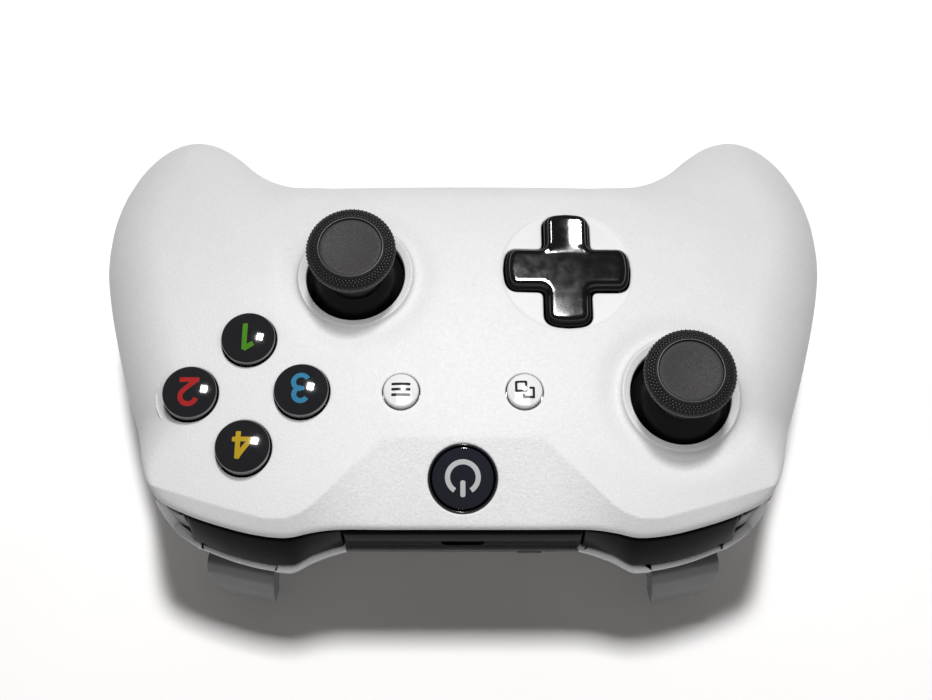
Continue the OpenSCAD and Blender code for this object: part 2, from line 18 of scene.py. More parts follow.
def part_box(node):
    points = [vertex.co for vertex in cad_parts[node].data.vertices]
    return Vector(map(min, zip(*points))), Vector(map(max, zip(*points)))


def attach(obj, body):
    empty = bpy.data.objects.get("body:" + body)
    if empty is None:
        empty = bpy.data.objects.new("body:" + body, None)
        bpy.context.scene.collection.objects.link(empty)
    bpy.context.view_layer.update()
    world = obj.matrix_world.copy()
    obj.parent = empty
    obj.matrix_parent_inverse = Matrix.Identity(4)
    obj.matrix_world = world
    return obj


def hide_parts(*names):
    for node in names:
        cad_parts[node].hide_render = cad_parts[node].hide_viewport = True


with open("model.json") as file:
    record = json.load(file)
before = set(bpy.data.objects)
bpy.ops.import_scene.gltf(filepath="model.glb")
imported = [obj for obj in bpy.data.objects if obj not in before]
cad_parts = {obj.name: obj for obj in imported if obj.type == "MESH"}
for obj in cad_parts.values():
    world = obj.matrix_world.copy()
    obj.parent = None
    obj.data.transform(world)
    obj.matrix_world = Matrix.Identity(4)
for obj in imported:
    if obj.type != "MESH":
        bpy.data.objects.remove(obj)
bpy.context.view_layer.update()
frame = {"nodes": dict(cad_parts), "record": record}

OFF = np.array([0.0, 5.03, 42.0])
FACE_H = 42.0
PI = math.pi


def to_m(p):
    return (np.asarray(p, float) + OFF) / 1000.0


# ---------------------------------------------------------------- small maths
def sm(a, b, v):
    t = np.clip((np.asarray(v, float) - a) / (b - a), 0.0, 1.0)
    return t * t * (3.0 - 2.0 * t)


def mix(a, b, t):
    return a + (b - a) * t


def catmull(pts, n):
    p = np.asarray(pts, float)
    out = []
    for i in range(len(p) - 1):
        a, b, c, d = p[max(i - 1, 0)], p[i], p[i + 1], p[min(i + 2, len(p) - 1)]
        for k in range(n):
            t = k / n
            out.append(
                0.5
                * (
                    2 * b
                    + (c - a) * t
                    + (2 * a - 5 * b + 4 * c - d) * t * t
                    + (3 * b - a - 3 * c + d) * t**3
                )
            )
    out.append(p[-1])
    return np.array(out)


def resample(poly, step, closed=False):
    p = np.asarray(poly, float)
    if closed:
        p = np.vstack([p, p[:1]])
    seg = np.linalg.norm(np.diff(p, axis=0), axis=1)
    s = np.concatenate([[0.0], np.cumsum(seg)])
    n = max(3, int(round(s[-1] / step)))
    q = np.linspace(0.0, s[-1], n + 1)
    out = np.stack([np.interp(q, s, p[:, k]) for k in range(p.shape[1])], axis=1)
    return out[:-1] if closed else out


def poly_dist(pts, poly, closed=True):
    """Distance from each point to a polyline."""
    pts = np.asarray(pts, float)
    a = np.asarray(poly, float)
    b = np.roll(a, -1, axis=0)
    if not closed:
        a, b = a[:-1], b[:-1]
    v = b - a
    vv = np.maximum((v * v).sum(1), 1e-12)
    out = np.empty(len(pts))
    for k in range(0, len(pts), 4000):
        p = pts[k : k + 4000]
        w = p[:, None, :] - a[None]
        t = np.clip((w * v[None]).sum(2) / vv[None], 0.0, 1.0)
        e = w - t[..., None] * v[None]
        out[k : k + 4000] = np.sqrt((e * e).sum(2).min(1))
    return out


def in_poly(pts, poly):
    """True for the points inside a closed polygon."""
    pts = np.asarray(pts, float)
    a = np.asarray(poly, float)
    b = np.roll(a, -1, axis=0)
    out = np.zeros(len(pts), bool)
    dy = b[:, 1] - a[:, 1]
    dy = np.where(np.abs(dy) < 1e-12, 1e-12, dy)
    for k in range(0, len(pts), 4000):
        p = pts[k : k + 4000]
        cross = (a[None, :, 1] > p[:, None, 1]) != (b[None, :, 1] > p[:, None, 1])
        xs = a[None, :, 0] + (p[:, None, 1] - a[None, :, 1]) * (b - a)[None, :, 0] / dy[None]
        out[k : k + 4000] = ((cross & (p[:, None, 0] < xs)).sum(1) % 2) == 1
    return out


def normals_2d(loop):
    """Left-hand normals of a closed loop, which point inward on a counter-clockwise one."""
    t = np.roll(loop, -1, axis=0) - np.roll(loop, 1, axis=0)
    t /= np.maximum(np.linalg.norm(t, axis=1, keepdims=True), 1e-9)
    return np.stack([-t[:, 1], t[:, 0]], axis=1)


def ccw(loop):
    x, y = loop[:, 0], loop[:, 1]
    area = 0.5 * np.sum(x * np.roll(y, -1) - np.roll(x, -1) * y)
    return loop if area > 0 else loop[::-1]


def circle(c, r, n, ky=1.0):
    t = np.linspace(0, 2 * PI, n, endpoint=False)
    return np.stack([c[0] + r * np.cos(t), c[1] + r * ky * np.sin(t)], axis=1)


def hexgrid(x0, x1, y0, y1, s):
    ys = np.arange(y0, y1, s * 0.866)
    out = []
    for k, y in enumerate(ys):
        xs = np.arange(x0 + (s / 2 if k % 2 else 0), x1, s)
        out.append(np.stack([xs, np.full_like(xs, y)], axis=1))
    return np.vstack(out)


# ---------------------------------------------------------------- mesh makers
def cdt(points, loops):
    """Triangles over points, with the closed loops as edges.
    Returns plan points, triangles and, for each loop, its point numbers."""
    verts, edges, starts = [], [], []
    for lp in loops:
        s = len(verts)
        starts.append((s, len(lp)))
        verts += [Vector(p) for p in lp]
        edges += [(s + i, s + (i + 1) % len(lp)) for i in range(len(lp))]
    verts += [Vector(p) for p in points]
    vo, _, fo, ov, _, _ = delaunay_2d_cdt(verts, edges, [], 0, 1e-5)
    back = {}
    for i, src in enumerate(ov):
        for s in src:
            back[s] = i
    xy = np.array([(v[0], v[1]) for v in vo])
    tri = np.array(fo, int)
    ids = [[back[s + k] for k in range(n)] for s, n in starts]
    return xy, tri, ids


def make(name, verts, faces, mats, body, nodes=(), sharp=35.0, index=None):
    """A mesh object from millimetre points that rides on a body and stands for CAD nodes."""
    me = bpy.data.meshes.new(name)
    me.from_pydata(to_m(verts).tolist(), [], [list(map(int, f)) for f in faces])
    for m in mats if isinstance(mats, (list, tuple)) else [mats]:
        me.materials.append(m)
    if index is not None:
        me.polygons.foreach_set("material_index", np.asarray(index, np.int32))
    me.validate()
    me.update()
    me.shade_smooth()
    me.set_sharp_from_angle(angle=math.radians(sharp))
    ob = bpy.data.objects.new(name, me)
    bpy.context.scene.collection.objects.link(ob)
    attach(ob, body)
    if nodes:
        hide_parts(*nodes)
    return ob


def thicken(ob, t):
    m = ob.modifiers.new("wall", "SOLIDIFY")
    m.thickness = t / 1000.0
    m.offset = -1.0
    m.use_even_offset = False
    m.use_quality_normals = True
    return ob


def revolve(profile, n, phase=0.0):
    """Turns (r, z) points about Z. Points with r = 0 close to one pole point."""
    verts, rings = [], []
    for r, z in profile:
        if r < 1e-9:
            rings.append([len(verts)])
            verts.append((0.0, 0.0, z))
        else:
            rings.append(list(range(len(verts), len(verts) + n)))
            for k in range(n):
                a = phase + 2 * PI * k / n
                verts.append((r * math.cos(a), r * math.sin(a), z))
    faces = []
    for a, b in zip(rings[:-1], rings[1:]):
        for k in range(n):
            k2 = (k + 1) % n
            if len(a) == 1 and len(b) == 1:
                continue
            if len(a) == 1:
                faces.append((a[0], b[k2], b[k]))
            elif len(b) == 1:
                faces.append((a[k], a[k2], b[0]))
            else:
                faces.append((a[k], a[k2], b[k2], b[k]))
    return np.array(verts), faces


def loft(loops, cap_start=True, cap_end=True):
    """Quads between loops that have the same number of points, with fan caps."""
    m = len(loops[0])
    verts = np.vstack(loops)
    faces = []
    for i in range(len(loops) - 1):
        a, b = i * m, (i + 1) * m
        for k in range(m):
            k2 = (k + 1) % m
            faces.append((a + k, a + k2, b + k2, b + k))
    extra = []
    base = len(verts)
    if cap_start:
        extra.append(np.mean(loops[0], axis=0))
        faces += [(base, (k + 1) % m, k) for k in range(m)]
        base += 1
    if cap_end:
        extra.append(np.mean(loops[-1], axis=0))
        s = (len(loops) - 1) * m
        faces += [(base, s + k, s + (k + 1) % m) for k in range(m)]
    if extra:
        verts = np.vstack([verts, np.array(extra)])
    return verts, faces


def join(*parts):
    """Several (verts, faces) as one."""
    vs, fs, n = [], [], 0
    for v, f in parts:
        v = np.asarray(v, float)
        vs.append(v)
        fs += [tuple(int(i) + n for i in q) for q in f]
        n += len(v)
    return np.vstack(vs), fs


def moved(part, at, rot=None):
    v, f = part
    v = np.asarray(v, float)
    if rot is not None:
        v = v @ np.array(rot).T
    return v + np.asarray(at, float), f


def rot_x(a):
    c, s = math.cos(a), math.sin(a)
    return np.array([[1, 0, 0], [0, c, -s], [0, s, c]])


def rot_y(a):
    c, s = math.cos(a), math.sin(a)
    return np.array([[c, 0, s], [0, 1, 0], [-s, 0, c]])


def rot_z(a):
    c, s = math.cos(a), math.sin(a)
    return np.array([[c, -s, 0], [s, c, 0], [0, 0, 1]])


def flip_x(part):
    """Mirror in X, with the faces turned so that they still look out."""
    v, f = part
    v = np.array(v, float)
    v[:, 0] *= -1
    return v, [tuple(reversed(q)) for q in f]


# ---------------------------------------------------------------- body shape
XE = 76.4
KX = XE / 76.5
up_pts = [(0, 37.6), (14, 37.6), (24, 37.6), (29, 38.2), (34, 39.2), (40, 38.6), (46.4, 37), (52.7, 34.9),
          (58.5, 32.1), (61, 28.8), (64.6, 20), (68, 10.5), (71.3, 0), (74.2, -10.5), (76, -19), (76.5, -25)]
low_pts = [(0, -37.5), (20, -37.5), (29, -37.6), (35, -38.6), (40, -41.5), (45, -46), (50, -51.5),
           (55, -55.6), (60.6, -57), (66.5, -54.8), (71.4, -49), (74.6, -41), (76.2, -33), (76.5, -25)]
UP = catmull(up_pts, 12) * [KX, 1]
LOW = catmull(low_pts, 12) * [KX, 1]
LOW[:, 1] = np.maximum(LOW[:, 1], -56.98)
rear_add = np.array([(0, 1.4), (23, 1.4), (30, 2.9), (34, 4.2), (46, 4), (54, 3.4), (57.4, 2.6), (58.8, 1.9), (59.6, 0.7), (60.4, 0), (77, 0)])
bump_add = np.array([(23, 0.9), (30, 2.2), (33, 3.3), (46, 3.2), (54, 2.6), (58, 1.6)])
facet_pts = np.array([(0, 21.1), (15.4, 21.1), (28.4, 33.5), (31, 35.3), (34, 36.3), (38, 36.2), (48, 33.4),
                      (56, 30.9), (60, 29.6), (62, 29), (77, 29)])
Z_EDGE = -6.6
RIM_T = 0.4
SEAM = 0.2
BUMP_TOP, BUMP_BOT = -8.1, -18.0
RS, LS = (21.7, -13.2), (-42.6, 12.0)
DP = (-21.0, -14.3)
FB = (42.3, 11.9)
FB_P = 10.95
FACE_BTN = {"south": (FB[0], FB[1] - FB_P), "east": (FB[0] + FB_P, FB[1]),
            "west": (FB[0] - FB_P, FB[1]), "north": (FB[0], FB[1] + FB_P)}
HB_Y = 28.6


def up(x):
    return np.interp(np.abs(x), UP[:, 0], UP[:, 1])


def low(x):
    return np.interp(np.abs(x), LOW[:, 0], LOW[:, 1])


def tab(t, x):
    return np.interp(np.abs(x), t[:, 0], t[:, 1])


right_rim = np.vstack([UP, LOW[::-1][1:]])
RIM = ccw(np.vstack([right_rim[:-1], (right_rim[::-1] * [-1, 1])[:-1]]))
RIM_H = right_rim


def rear_shift(p):
    q = np.array(p, float)
    q[:, 1] += np.where(q[:, 1] > -20, tab(rear_add, q[:, 0]) * sm(10, 24, q[:, 1]), 0)
    return q


RIM_R = rear_shift(RIM)
RIM_RH = rear_shift(RIM_H)


def rim_d(x, y):
    return poly_dist(np.stack([np.abs(x), y], 1), RIM_H, closed=False)


def rim_rd(x, y):
    return poly_dist(np.stack([np.abs(x), y], 1), RIM_RH, closed=False)


def crown(x, y):
    return -np.square(y) / 380.0 - np.square(x) / 1400.0 - 0.003 * np.square(np.maximum(0, -22.0 - y))


def softmin(a, b, k):
    h = np.clip(0.5 + 0.5 * (b - a) / k, 0, 1)
    return mix(b, a, h) - k * h * (1 - h)


def face_z(x, y, k=0.12):
    b, u = tab(facet_pts, x), up(x)
    c = crown(x, y)
    cb = crown(x, b)
    w = np.maximum(u - b, 0.25)
    ruled = cb + (Z_EDGE - cb) * (y - b) / w
    return np.where(u > b + 0.05, softmin(c, np.maximum(ruled, Z_EDGE - 0.4), k), c)


def edge_r(x, y):
    r = mix(13.5, 6.0, (1 - sm(30, 48, np.abs(x))) * (1 - sm(-30, -18, y)))
    return mix(r, 0.8, sm(14, 29, y))


def drop(d, r):
    """How far a rounded edge of radius r has fallen at distance d from the outline."""
    e = np.clip(r - d, 0, r)
    return r - np.sqrt(np.maximum(0, r * r - e * e))


def belt_z(x, y):
    return face_z(x, y) - edge_r(x, y) - RIM_T


def rear_belt(x, y):
    t = (1 - sm(57.8, 59.6, np.abs(x))) * sm(22, 27, y)
    return mix(belt_z(x, y) - SEAM, BUMP_BOT - 0.3, t) - RIM_T


def rear_r(x, y):
    return mix(mix(14.0, 8.0, 1 - sm(30, 48, np.abs(x))), 6.0, sm(10, 26, y))


def rear_z(x, y, d):
    b = rear_belt(x, y)
    s = np.clip(d / rear_r(x, y), 0, 1)
    lo = -27.0 - 15.0 * sm(36, 50, np.abs(x)) * (1 - sm(-24, 4, y))
    return mix(b, lo, np.sqrt(np.maximum(0, 1 - np.square(1 - s))))


FACET_A = math.atan((float(crown(0.0, 21.1)) - Z_EDGE) / (float(up(0.0)) - 21.1))
COS_F = math.cos(FACET_A)
HOME_Z = float(face_z(np.array([0.0]), np.array([HB_Y]))[0])


# ---------------------------------------------------------------- materials
def new_mat(name):
    m = bpy.data.materials.new(name)
    m.use_nodes = True
    nt = m.node_tree
    nt.nodes.clear()
    out = nt.nodes.new("ShaderNodeOutputMaterial")
    b = nt.nodes.new("ShaderNodeBsdfPrincipled")
    nt.links.new(b.outputs["BSDF"], out.inputs["Surface"])
    tc = nt.nodes.new("ShaderNodeTexCoord")
    return m, nt, b, tc.outputs["Object"]


def noise(nt, co, scale, detail=2.0, rough=0.5, distortion=0.0):
    n = nt.nodes.new("ShaderNodeTexNoise")
    n.inputs["Scale"].default_value = scale
    n.inputs["Detail"].default_value = detail
    n.inputs["Roughness"].default_value = rough
    n.inputs["Distortion"].default_value = distortion
    nt.links.new(co, n.inputs["Vector"])
    return n.outputs["Fac"]


def ramp(nt, fac, stops):
    r = nt.nodes.new("ShaderNodeValToRGB")
    el = r.color_ramp.elements
    while len(el) < len(stops):
        el.new(0.5)
    for e, (p, c) in zip(el, stops):
        e.position = p
        e.color = (*c, 1.0) if len(c) == 3 else c
    nt.links.new(fac, r.inputs["Fac"])
    return r.outputs["Color"]


def span(nt, v, a, b, lo=0.0, hi=1.0):
    m = nt.nodes.new("ShaderNodeMapRange")
    m.inputs["From Min"].default_value = lo
    m.inputs["From Max"].default_value = hi
    m.inputs["To Min"].default_value = a
    m.inputs["To Max"].default_value = b
    nt.links.new(v, m.inputs["Value"])
    return m.outputs["Result"]


def bump(nt, h, strength, dist, normal=None):
    b = nt.nodes.new("ShaderNodeBump")
    b.inputs["Strength"].default_value = strength
    b.inputs["Distance"].default_value = dist
    nt.links.new(h, b.inputs["Height"])
    if normal is not None:
        nt.links.new(normal, b.inputs["Normal"])
    return b.outputs["Normal"]


def add(nt, a, b, op="ADD"):
    m = nt.nodes.new("ShaderNodeMath")
    m.operation = op
    for k, v in ((0, a), (1, b)):
        if isinstance(v, (int, float)):
            m.inputs[k].default_value = v
        else:
            nt.links.new(v, m.inputs[k])
    return m.outputs[0]


def plastic(name, c1, c2, cscale=90.0, rough=(0.4, 0.5), rscale=220.0, grain=(2200.0, 0.2, 4e-5),
            coat=0.0, coat_rough=0.1, spec=0.5, metal=0.0, wave=None):
    m, nt, b, co = new_mat(name)
    nt.links.new(ramp(nt, noise(nt, co, cscale, 4.0, 0.6), [(0.3, c1), (0.7, c2)]), b.inputs["Base Color"])
    nt.links.new(span(nt, noise(nt, co, rscale, 3.0), rough[0], rough[1], 0.3, 0.7), b.inputs["Roughness"])
    nrm = bump(nt, noise(nt, co, grain[0], 2.0, 0.6), grain[1], grain[2])
    if wave:  # a slow unevenness of the moulded skin
        nrm = bump(nt, noise(nt, co, wave[0], 2.0), wave[1], wave[2], nrm)
    nt.links.new(nrm, b.inputs["Normal"])
    b.inputs["Specular IOR Level"].default_value = spec
    b.inputs["Metallic"].default_value = metal
    if coat:
        b.inputs["Coat Weight"].default_value = coat
        b.inputs["Coat Roughness"].default_value = coat_rough
    m.diffuse_color = (*c1, 1.0)
    return m


def shell_mat(name, c1, c2, fine, strength, rough, spec=0.62, speck=0.0):
    """White moulded plastic: fine spark-eroded grain, faint cloudiness and handling shine."""
    m, nt, b, co = new_mat(name)
    tone = ramp(nt, noise(nt, co, 70.0, 5.0, 0.62), [(0.28, c1), (0.72, c2)])
    if speck:  # tiny lighter and darker points in the grain
        mx = nt.nodes.new("ShaderNodeMix")
        mx.data_type = "RGBA"
        mx.blend_type = "MULTIPLY"
        mx.inputs["Factor"].default_value = 1.0
        nt.links.new(tone, mx.inputs["A"])
        nt.links.new(ramp(nt, noise(nt, co, fine * 0.9, 2.0, 0.6), [(0.3, (1 - speck,) * 3), (0.7, (1 + speck,) * 3)]), mx.inputs["B"])
        tone = mx.outputs["Result"]
    nt.links.new(tone, b.inputs["Base Color"])
    handled = noise(nt, co, 38.0, 4.0, 0.6)
    grain = noise(nt, co, fine * 0.5, 2.0, 0.5)
    r = add(nt, span(nt, handled, rough[0], rough[1], 0.3, 0.7), span(nt, grain, -0.06, 0.06, 0.3, 0.7))
    nt.links.new(r, b.inputs["Roughness"])
    v = nt.nodes.new("ShaderNodeTexVoronoi")
    v.feature = "SMOOTH_F1"
    v.inputs["Scale"].default_value = fine
    v.inputs["Smoothness"].default_value = 0.6
    nt.links.new(co, v.inputs["Vector"])
    h = add(nt, v.outputs["Distance"], noise(nt, co, fine * 1.7, 2.0, 0.6))
    n1 = bump(nt, h, strength, 6e-5)
    nt.links.new(bump(nt, noise(nt, co, 60.0, 2.0), 0.12, 6e-5, n1), b.inputs["Normal"])
    b.inputs["Specular IOR Level"].default_value = spec
    m.diffuse_color = (*c1, 1.0)
    return m


M_SHELL = shell_mat("shell_white", (0.645, 0.648, 0.655), (0.675, 0.678, 0.684), 2300.0, 0.55, (0.53, 0.62), 0.5, 0.03)
# The facet uses the shell's plastic made a little lighter: painted light for the facet's brighter look. Its coarser
# grain and specks are texture.
M_FACET_LIT = shell_mat("facet_white", (0.650, 0.654, 0.664), (0.680, 0.684, 0.693), 1900.0, 0.75, (0.53, 0.62), 0.5, 0.06)
M_REAR = shell_mat("rear_white", (0.645, 0.648, 0.655), (0.675, 0.678, 0.684), 2000.0, 0.45, (0.50, 0.60), 0.5)
M_DISH = shell_mat("dish_white", (0.665, 0.668, 0.675), (0.690, 0.693, 0.699), 3200.0, 0.12, (0.48, 0.56), 0.5)
M_GLOSS = plastic("gloss_black", (0.004, 0.004, 0.005), (0.007, 0.007, 0.009), 60.0, (0.12, 0.22), 320.0,
                  (900.0, 0.015, 2e-5), spec=0.03, wave=(70.0, 0.05, 6e-5))
M_DPAD = plastic("pad_black", (0.003, 0.003, 0.0035), (0.005, 0.005, 0.006), 80.0, (0.05, 0.09), 420.0,
                 (1200.0, 0.008, 1e-5), coat=0.2, coat_rough=0.03, spec=0.35)
M_DOME = plastic("dome_black", (0.005, 0.006, 0.009), (0.009, 0.010, 0.015), 120.0, (0.05, 0.10), 500.0,
                 (1500.0, 0.008, 1e-5), coat=1.0, coat_rough=0.02)
M_HOME = plastic("home_navy", (0.006, 0.008, 0.018), (0.010, 0.012, 0.026), 150.0, (0.06, 0.11), 420.0,
                 (1500.0, 0.008, 1e-5), coat=1.0, coat_rough=0.02)
M_GREEN = plastic("mark_green", (0.075, 0.30, 0.010), (0.095, 0.36, 0.015), 200.0, (0.06, 0.11), 500.0,
                  (1500.0, 0.008, 1e-5), coat=1.0, coat_rough=0.02)
M_RED = plastic("mark_red", (0.46, 0.012, 0.014), (0.54, 0.020, 0.020), 200.0, (0.06, 0.11), 500.0,
                (1500.0, 0.008, 1e-5), coat=1.0, coat_rough=0.02)
M_BLUE = plastic("mark_blue", (0.035, 0.25, 0.46), (0.05, 0.30, 0.53), 200.0, (0.06, 0.11), 500.0,
                 (1500.0, 0.008, 1e-5), coat=1.0, coat_rough=0.02)
M_YELLOW = plastic("mark_yellow", (0.60, 0.40, 0.010), (0.68, 0.46, 0.016), 200.0, (0.06, 0.11), 500.0,
                   (1500.0, 0.008, 1e-5), coat=1.0, coat_rough=0.02)
M_MARK_W = plastic("mark_white", (0.72, 0.73, 0.75), (0.78, 0.79, 0.80), 200.0, (0.08, 0.14), 500.0,
                   (1500.0, 0.008, 1e-5), coat=1.0, coat_rough=0.02)
M_WHITE = plastic("button_white", (0.70, 0.70, 0.705), (0.76, 0.76, 0.765), 160.0, (0.12, 0.2), 420.0,
                  (1600.0, 0.01, 1e-5), coat=0.8, coat_rough=0.03)
M_INK = plastic("mark_ink", (0.006, 0.006, 0.007), (0.011, 0.011, 0.012), 200.0, (0.12, 0.2), 500.0,
                (1600.0, 0.01, 1e-5), coat=0.8, coat_rough=0.03)
M_RUBBER = plastic("stick_rubber", (0.026, 0.0236, 0.0232), (0.037, 0.0336, 0.0330), 3400.0, (0.50, 0.62), 3000.0,
                   (3600.0, 0.5, 5e-5), spec=0.36)
M_KNURL = plastic("stick_knurl", (0.013, 0.0125, 0.014), (0.020, 0.0195, 0.021), 1500.0, (0.30, 0.40), 1500.0,
                  (3600.0, 0.12, 2e-5), spec=0.55)
M_STEM = plastic("stick_stem", (0.007, 0.007, 0.008), (0.011, 0.011, 0.012), 150.0, (0.28, 0.4), 500.0,
                 (2600.0, 0.1, 2e-5))
M_BEZEL = plastic("bezel_dark", (0.010, 0.011, 0.016), (0.016, 0.017, 0.023), 240.0, (0.14, 0.22), 700.0,
                  (2500.0, 0.03, 1e-5), coat=0.5, coat_rough=0.05)
# The triggers' grey is their plastic's tone taken darker still: partly their own colour, partly painted shade for the
# shadow under the bumpers.
M_TRIG_SHADED = shell_mat("trigger_grey", (0.150, 0.153, 0.158), (0.175, 0.178, 0.183), 2600.0, 0.22, (0.36, 0.46), 0.4)
M_GREY = plastic("inner_plastic", (0.055, 0.057, 0.06), (0.085, 0.087, 0.09), 120.0, (0.5, 0.65), 300.0,
                 (1500.0, 0.12, 3e-5))
# This grey is the white shell plastic darkened: painted shade for the recessed wall past each bumper end.
M_CHEEK_SHADE = shell_mat("cheek_grey", (0.20, 0.203, 0.208), (0.23, 0.233, 0.238), 2300.0, 0.3, (0.5, 0.6), 0.4)
# This grey is the white rear-shell plastic darkened: painted shade for the strip under the trim.
M_STRIP_SHADE = shell_mat("strip_grey", (0.085, 0.085, 0.087), (0.105, 0.105, 0.107), 2300.0, 0.3, (0.5, 0.6), 0.3)
M_STEEL = plastic("steel", (0.46, 0.47, 0.48), (0.58, 0.59, 0.60), 300.0, (0.22, 0.38), 800.0,
                  (3000.0, 0.06, 1e-5), metal=1.0)
M_BRASS = plastic("contact_brass", (0.60, 0.50, 0.30), (0.70, 0.60, 0.38), 300.0, (0.2, 0.34), 800.0,
                  (3000.0, 0.06, 1e-5), metal=1.0)
M_MAT = plastic("mat_rubber", (0.20, 0.205, 0.21), (0.27, 0.275, 0.28), 140.0, (0.55, 0.7), 400.0,
                (2400.0, 0.2, 3e-5))
M_JACKET = plastic("cell_jacket", (0.045, 0.05, 0.06), (0.07, 0.075, 0.085), 70.0, (0.24, 0.36), 300.0,
                   (1200.0, 0.04, 2e-5), coat=0.4, coat_rough=0.12)
M_BAND = plastic("cell_band", (0.42, 0.43, 0.44), (0.52, 0.53, 0.54), 70.0, (0.22, 0.34), 300.0,
                 (1200.0, 0.04, 2e-5), coat=0.4, coat_rough=0.12)
M_PORT = plastic("port_black", (0.012, 0.012, 0.013), (0.02, 0.02, 0.021), 150.0, (0.35, 0.5), 400.0,
                 (2200.0, 0.12, 2e-5))


def board_mat():
    """Circuit board: green mask with faint tracks and tinned pads."""
    m, nt, b, co = new_mat("board_green")
    br = nt.nodes.new("ShaderNodeTexBrick")
    br.inputs["Scale"].default_value = 420.0
    br.inputs["Mortar Size"].default_value = 0.018
    br.inputs["Color1"].default_value = (0.006, 0.075, 0.022, 1)
    br.inputs["Color2"].default_value = (0.008, 0.095, 0.028, 1)
    br.inputs["Mortar"].default_value = (0.016, 0.15, 0.045, 1)
    nt.links.new(co, br.inputs["Vector"])
    v = nt.nodes.new("ShaderNodeTexVoronoi")
    v.inputs["Scale"].default_value = 330.0
    nt.links.new(co, v.inputs["Vector"])
    pad = span(nt, v.outputs["Distance"], 1.0, 0.0, 0.10, 0.16)
    mx = nt.nodes.new("ShaderNodeMix")
    mx.data_type = "RGBA"
    nt.links.new(pad, mx.inputs["Factor"])
    nt.links.new(br.outputs["Color"], mx.inputs["A"])
    mx.inputs["B"].default_value = (0.55, 0.56, 0.55, 1)
    nt.links.new(mx.outputs["Result"], b.inputs["Base Color"])
    nt.links.new(span(nt, noise(nt, co, 400.0, 3.0), 0.28, 0.42, 0.3, 0.7), b.inputs["Roughness"])
    nt.links.new(bump(nt, add(nt, pad, br.outputs["Fac"]), 0.3, 3e-5), b.inputs["Normal"])
    m.diffuse_color = (0.01, 0.1, 0.03, 1)
    return m


M_BOARD = board_mat()


def grip_mat():
    """Grip covers: the same white plastic with rows of fine raised dots."""
    m, nt, b, co = new_mat("grip_white")
    nt.links.new(ramp(nt, noise(nt, co, 70.0, 5.0, 0.62), [(0.28, (0.645, 0.648, 0.655)), (0.72, (0.675, 0.678, 0.684))]),
                 b.inputs["Base Color"])
    nt.links.new(span(nt, noise(nt, co, 45.0, 4.0, 0.6), 0.44, 0.56, 0.3, 0.7), b.inputs["Roughness"])
    v = nt.nodes.new("ShaderNodeTexVoronoi")
    v.inputs["Scale"].default_value = 900.0
    v.inputs["Randomness"].default_value = 0.25
    nt.links.new(co, v.inputs["Vector"])
    dots = span(nt, v.outputs["Distance"], 1.0, 0.0, 0.22, 0.40)
    h = add(nt, dots, span(nt, noise(nt, co, 2600.0, 2.0), 0.0, 0.3))
    nt.links.new(bump(nt, h, 0.35, 6e-5), b.inputs["Normal"])
    m.diffuse_color = (0.66, 0.66, 0.67, 1)
    return m


M_GRIP = grip_mat()


# ---------------------------------------------------------------- loops and cuts
def fillet_poly(pts, radii, n=7):
    """Rounds the corners of a closed polygon."""
    p = np.asarray(pts, float)
    out = []
    m = len(p)
    for i in range(m):
        r = radii[i] if hasattr(radii, "__len__") else radii
        a, b, c = p[i - 1], p[i], p[(i + 1) % m]
        u, v = a - b, c - b
        lu, lv = np.linalg.norm(u), np.linalg.norm(v)
        u, v = u / lu, v / lv
        ang = math.acos(max(-1.0, min(1.0, float(u @ v))))
        if r <= 1e-6 or ang > PI - 0.02:
            out.append(b)
            continue
        t = min(r / math.tan(ang / 2), 0.49 * lu, 0.49 * lv)
        p0, p1 = b + u * t, b + v * t
        for k in range(n + 1):
            s = k / n
            out.append((1 - s) ** 2 * p0 + 2 * s * (1 - s) * (0.5 * b + 0.25 * (p0 + p1)) + s * s * p1)
    return np.array(out)


def smooth_loop(lp, times, closed=True):
    q = np.array(lp, float)
    for _ in range(times):
        s = 0.5 * q + 0.25 * (np.roll(q, 1, axis=0) + np.roll(q, -1, axis=0))
        if not closed:
            s[0], s[-1] = q[0], q[-1]
        q = s
    return q


def offset_loop(lp, d):
    """Moves a counter-clockwise loop inward by d."""
    return lp + normals_2d(lp) * d


def cross_loop(w, a, rc, ri, step):
    """Outline of the direction pad: two arms cut by a circle, with rounded corners."""
    R, h = w / 2, a / 2
    t = math.asin(h / R)
    pts, rad = [], []
    for q in range(4):
        m = np.array([[math.cos(q * PI / 2), -math.sin(q * PI / 2)], [math.sin(q * PI / 2), math.cos(q * PI / 2)]])
        arm = [(h, -h)] + [(R * math.cos(x), R * math.sin(x)) for x in np.linspace(-t, t, 5)]
        pts += [m @ np.array(v) for v in arm]
        rad += [ri, rc, 0.6, 0.6, 0.6, rc]
    return ccw(smooth_loop(resample(fillet_poly(pts, rad), step, closed=True), 6))


def rrect(x0, x1, y0, y1, r, n=10, side=6):
    """Rounded rectangle with a fixed number of points."""
    r = max(r, 0.05)
    out = []
    for cx, cy, a0 in ((x1 - r, y1 - r, 0), (x0 + r, y1 - r, 90), (x0 + r, y0 + r, 180), (x1 - r, y0 + r, 270)):
        for k in range(n + 1):
            a = math.radians(a0 + 90 * k / n)
            out.append((cx + r * math.cos(a), cy + r * math.sin(a)))
    p = np.array(out)
    res = []
    for i in range(len(p)):
        a, b = p[i], p[(i + 1) % len(p)]
        m = side if (i + 1) % (n + 1) == 0 else 1
        res += [a + (b - a) * k / m for k in range(m)]
    return np.array(res)


def boundary(tri):
    """Directed edges that only one triangle has, with the triangle on their left."""
    seen = {}
    for a, b, c in tri:
        for e in ((a, b), (b, c), (c, a)):
            seen[e] = True
    return [e for e in seen if (e[1], e[0]) not in seen]


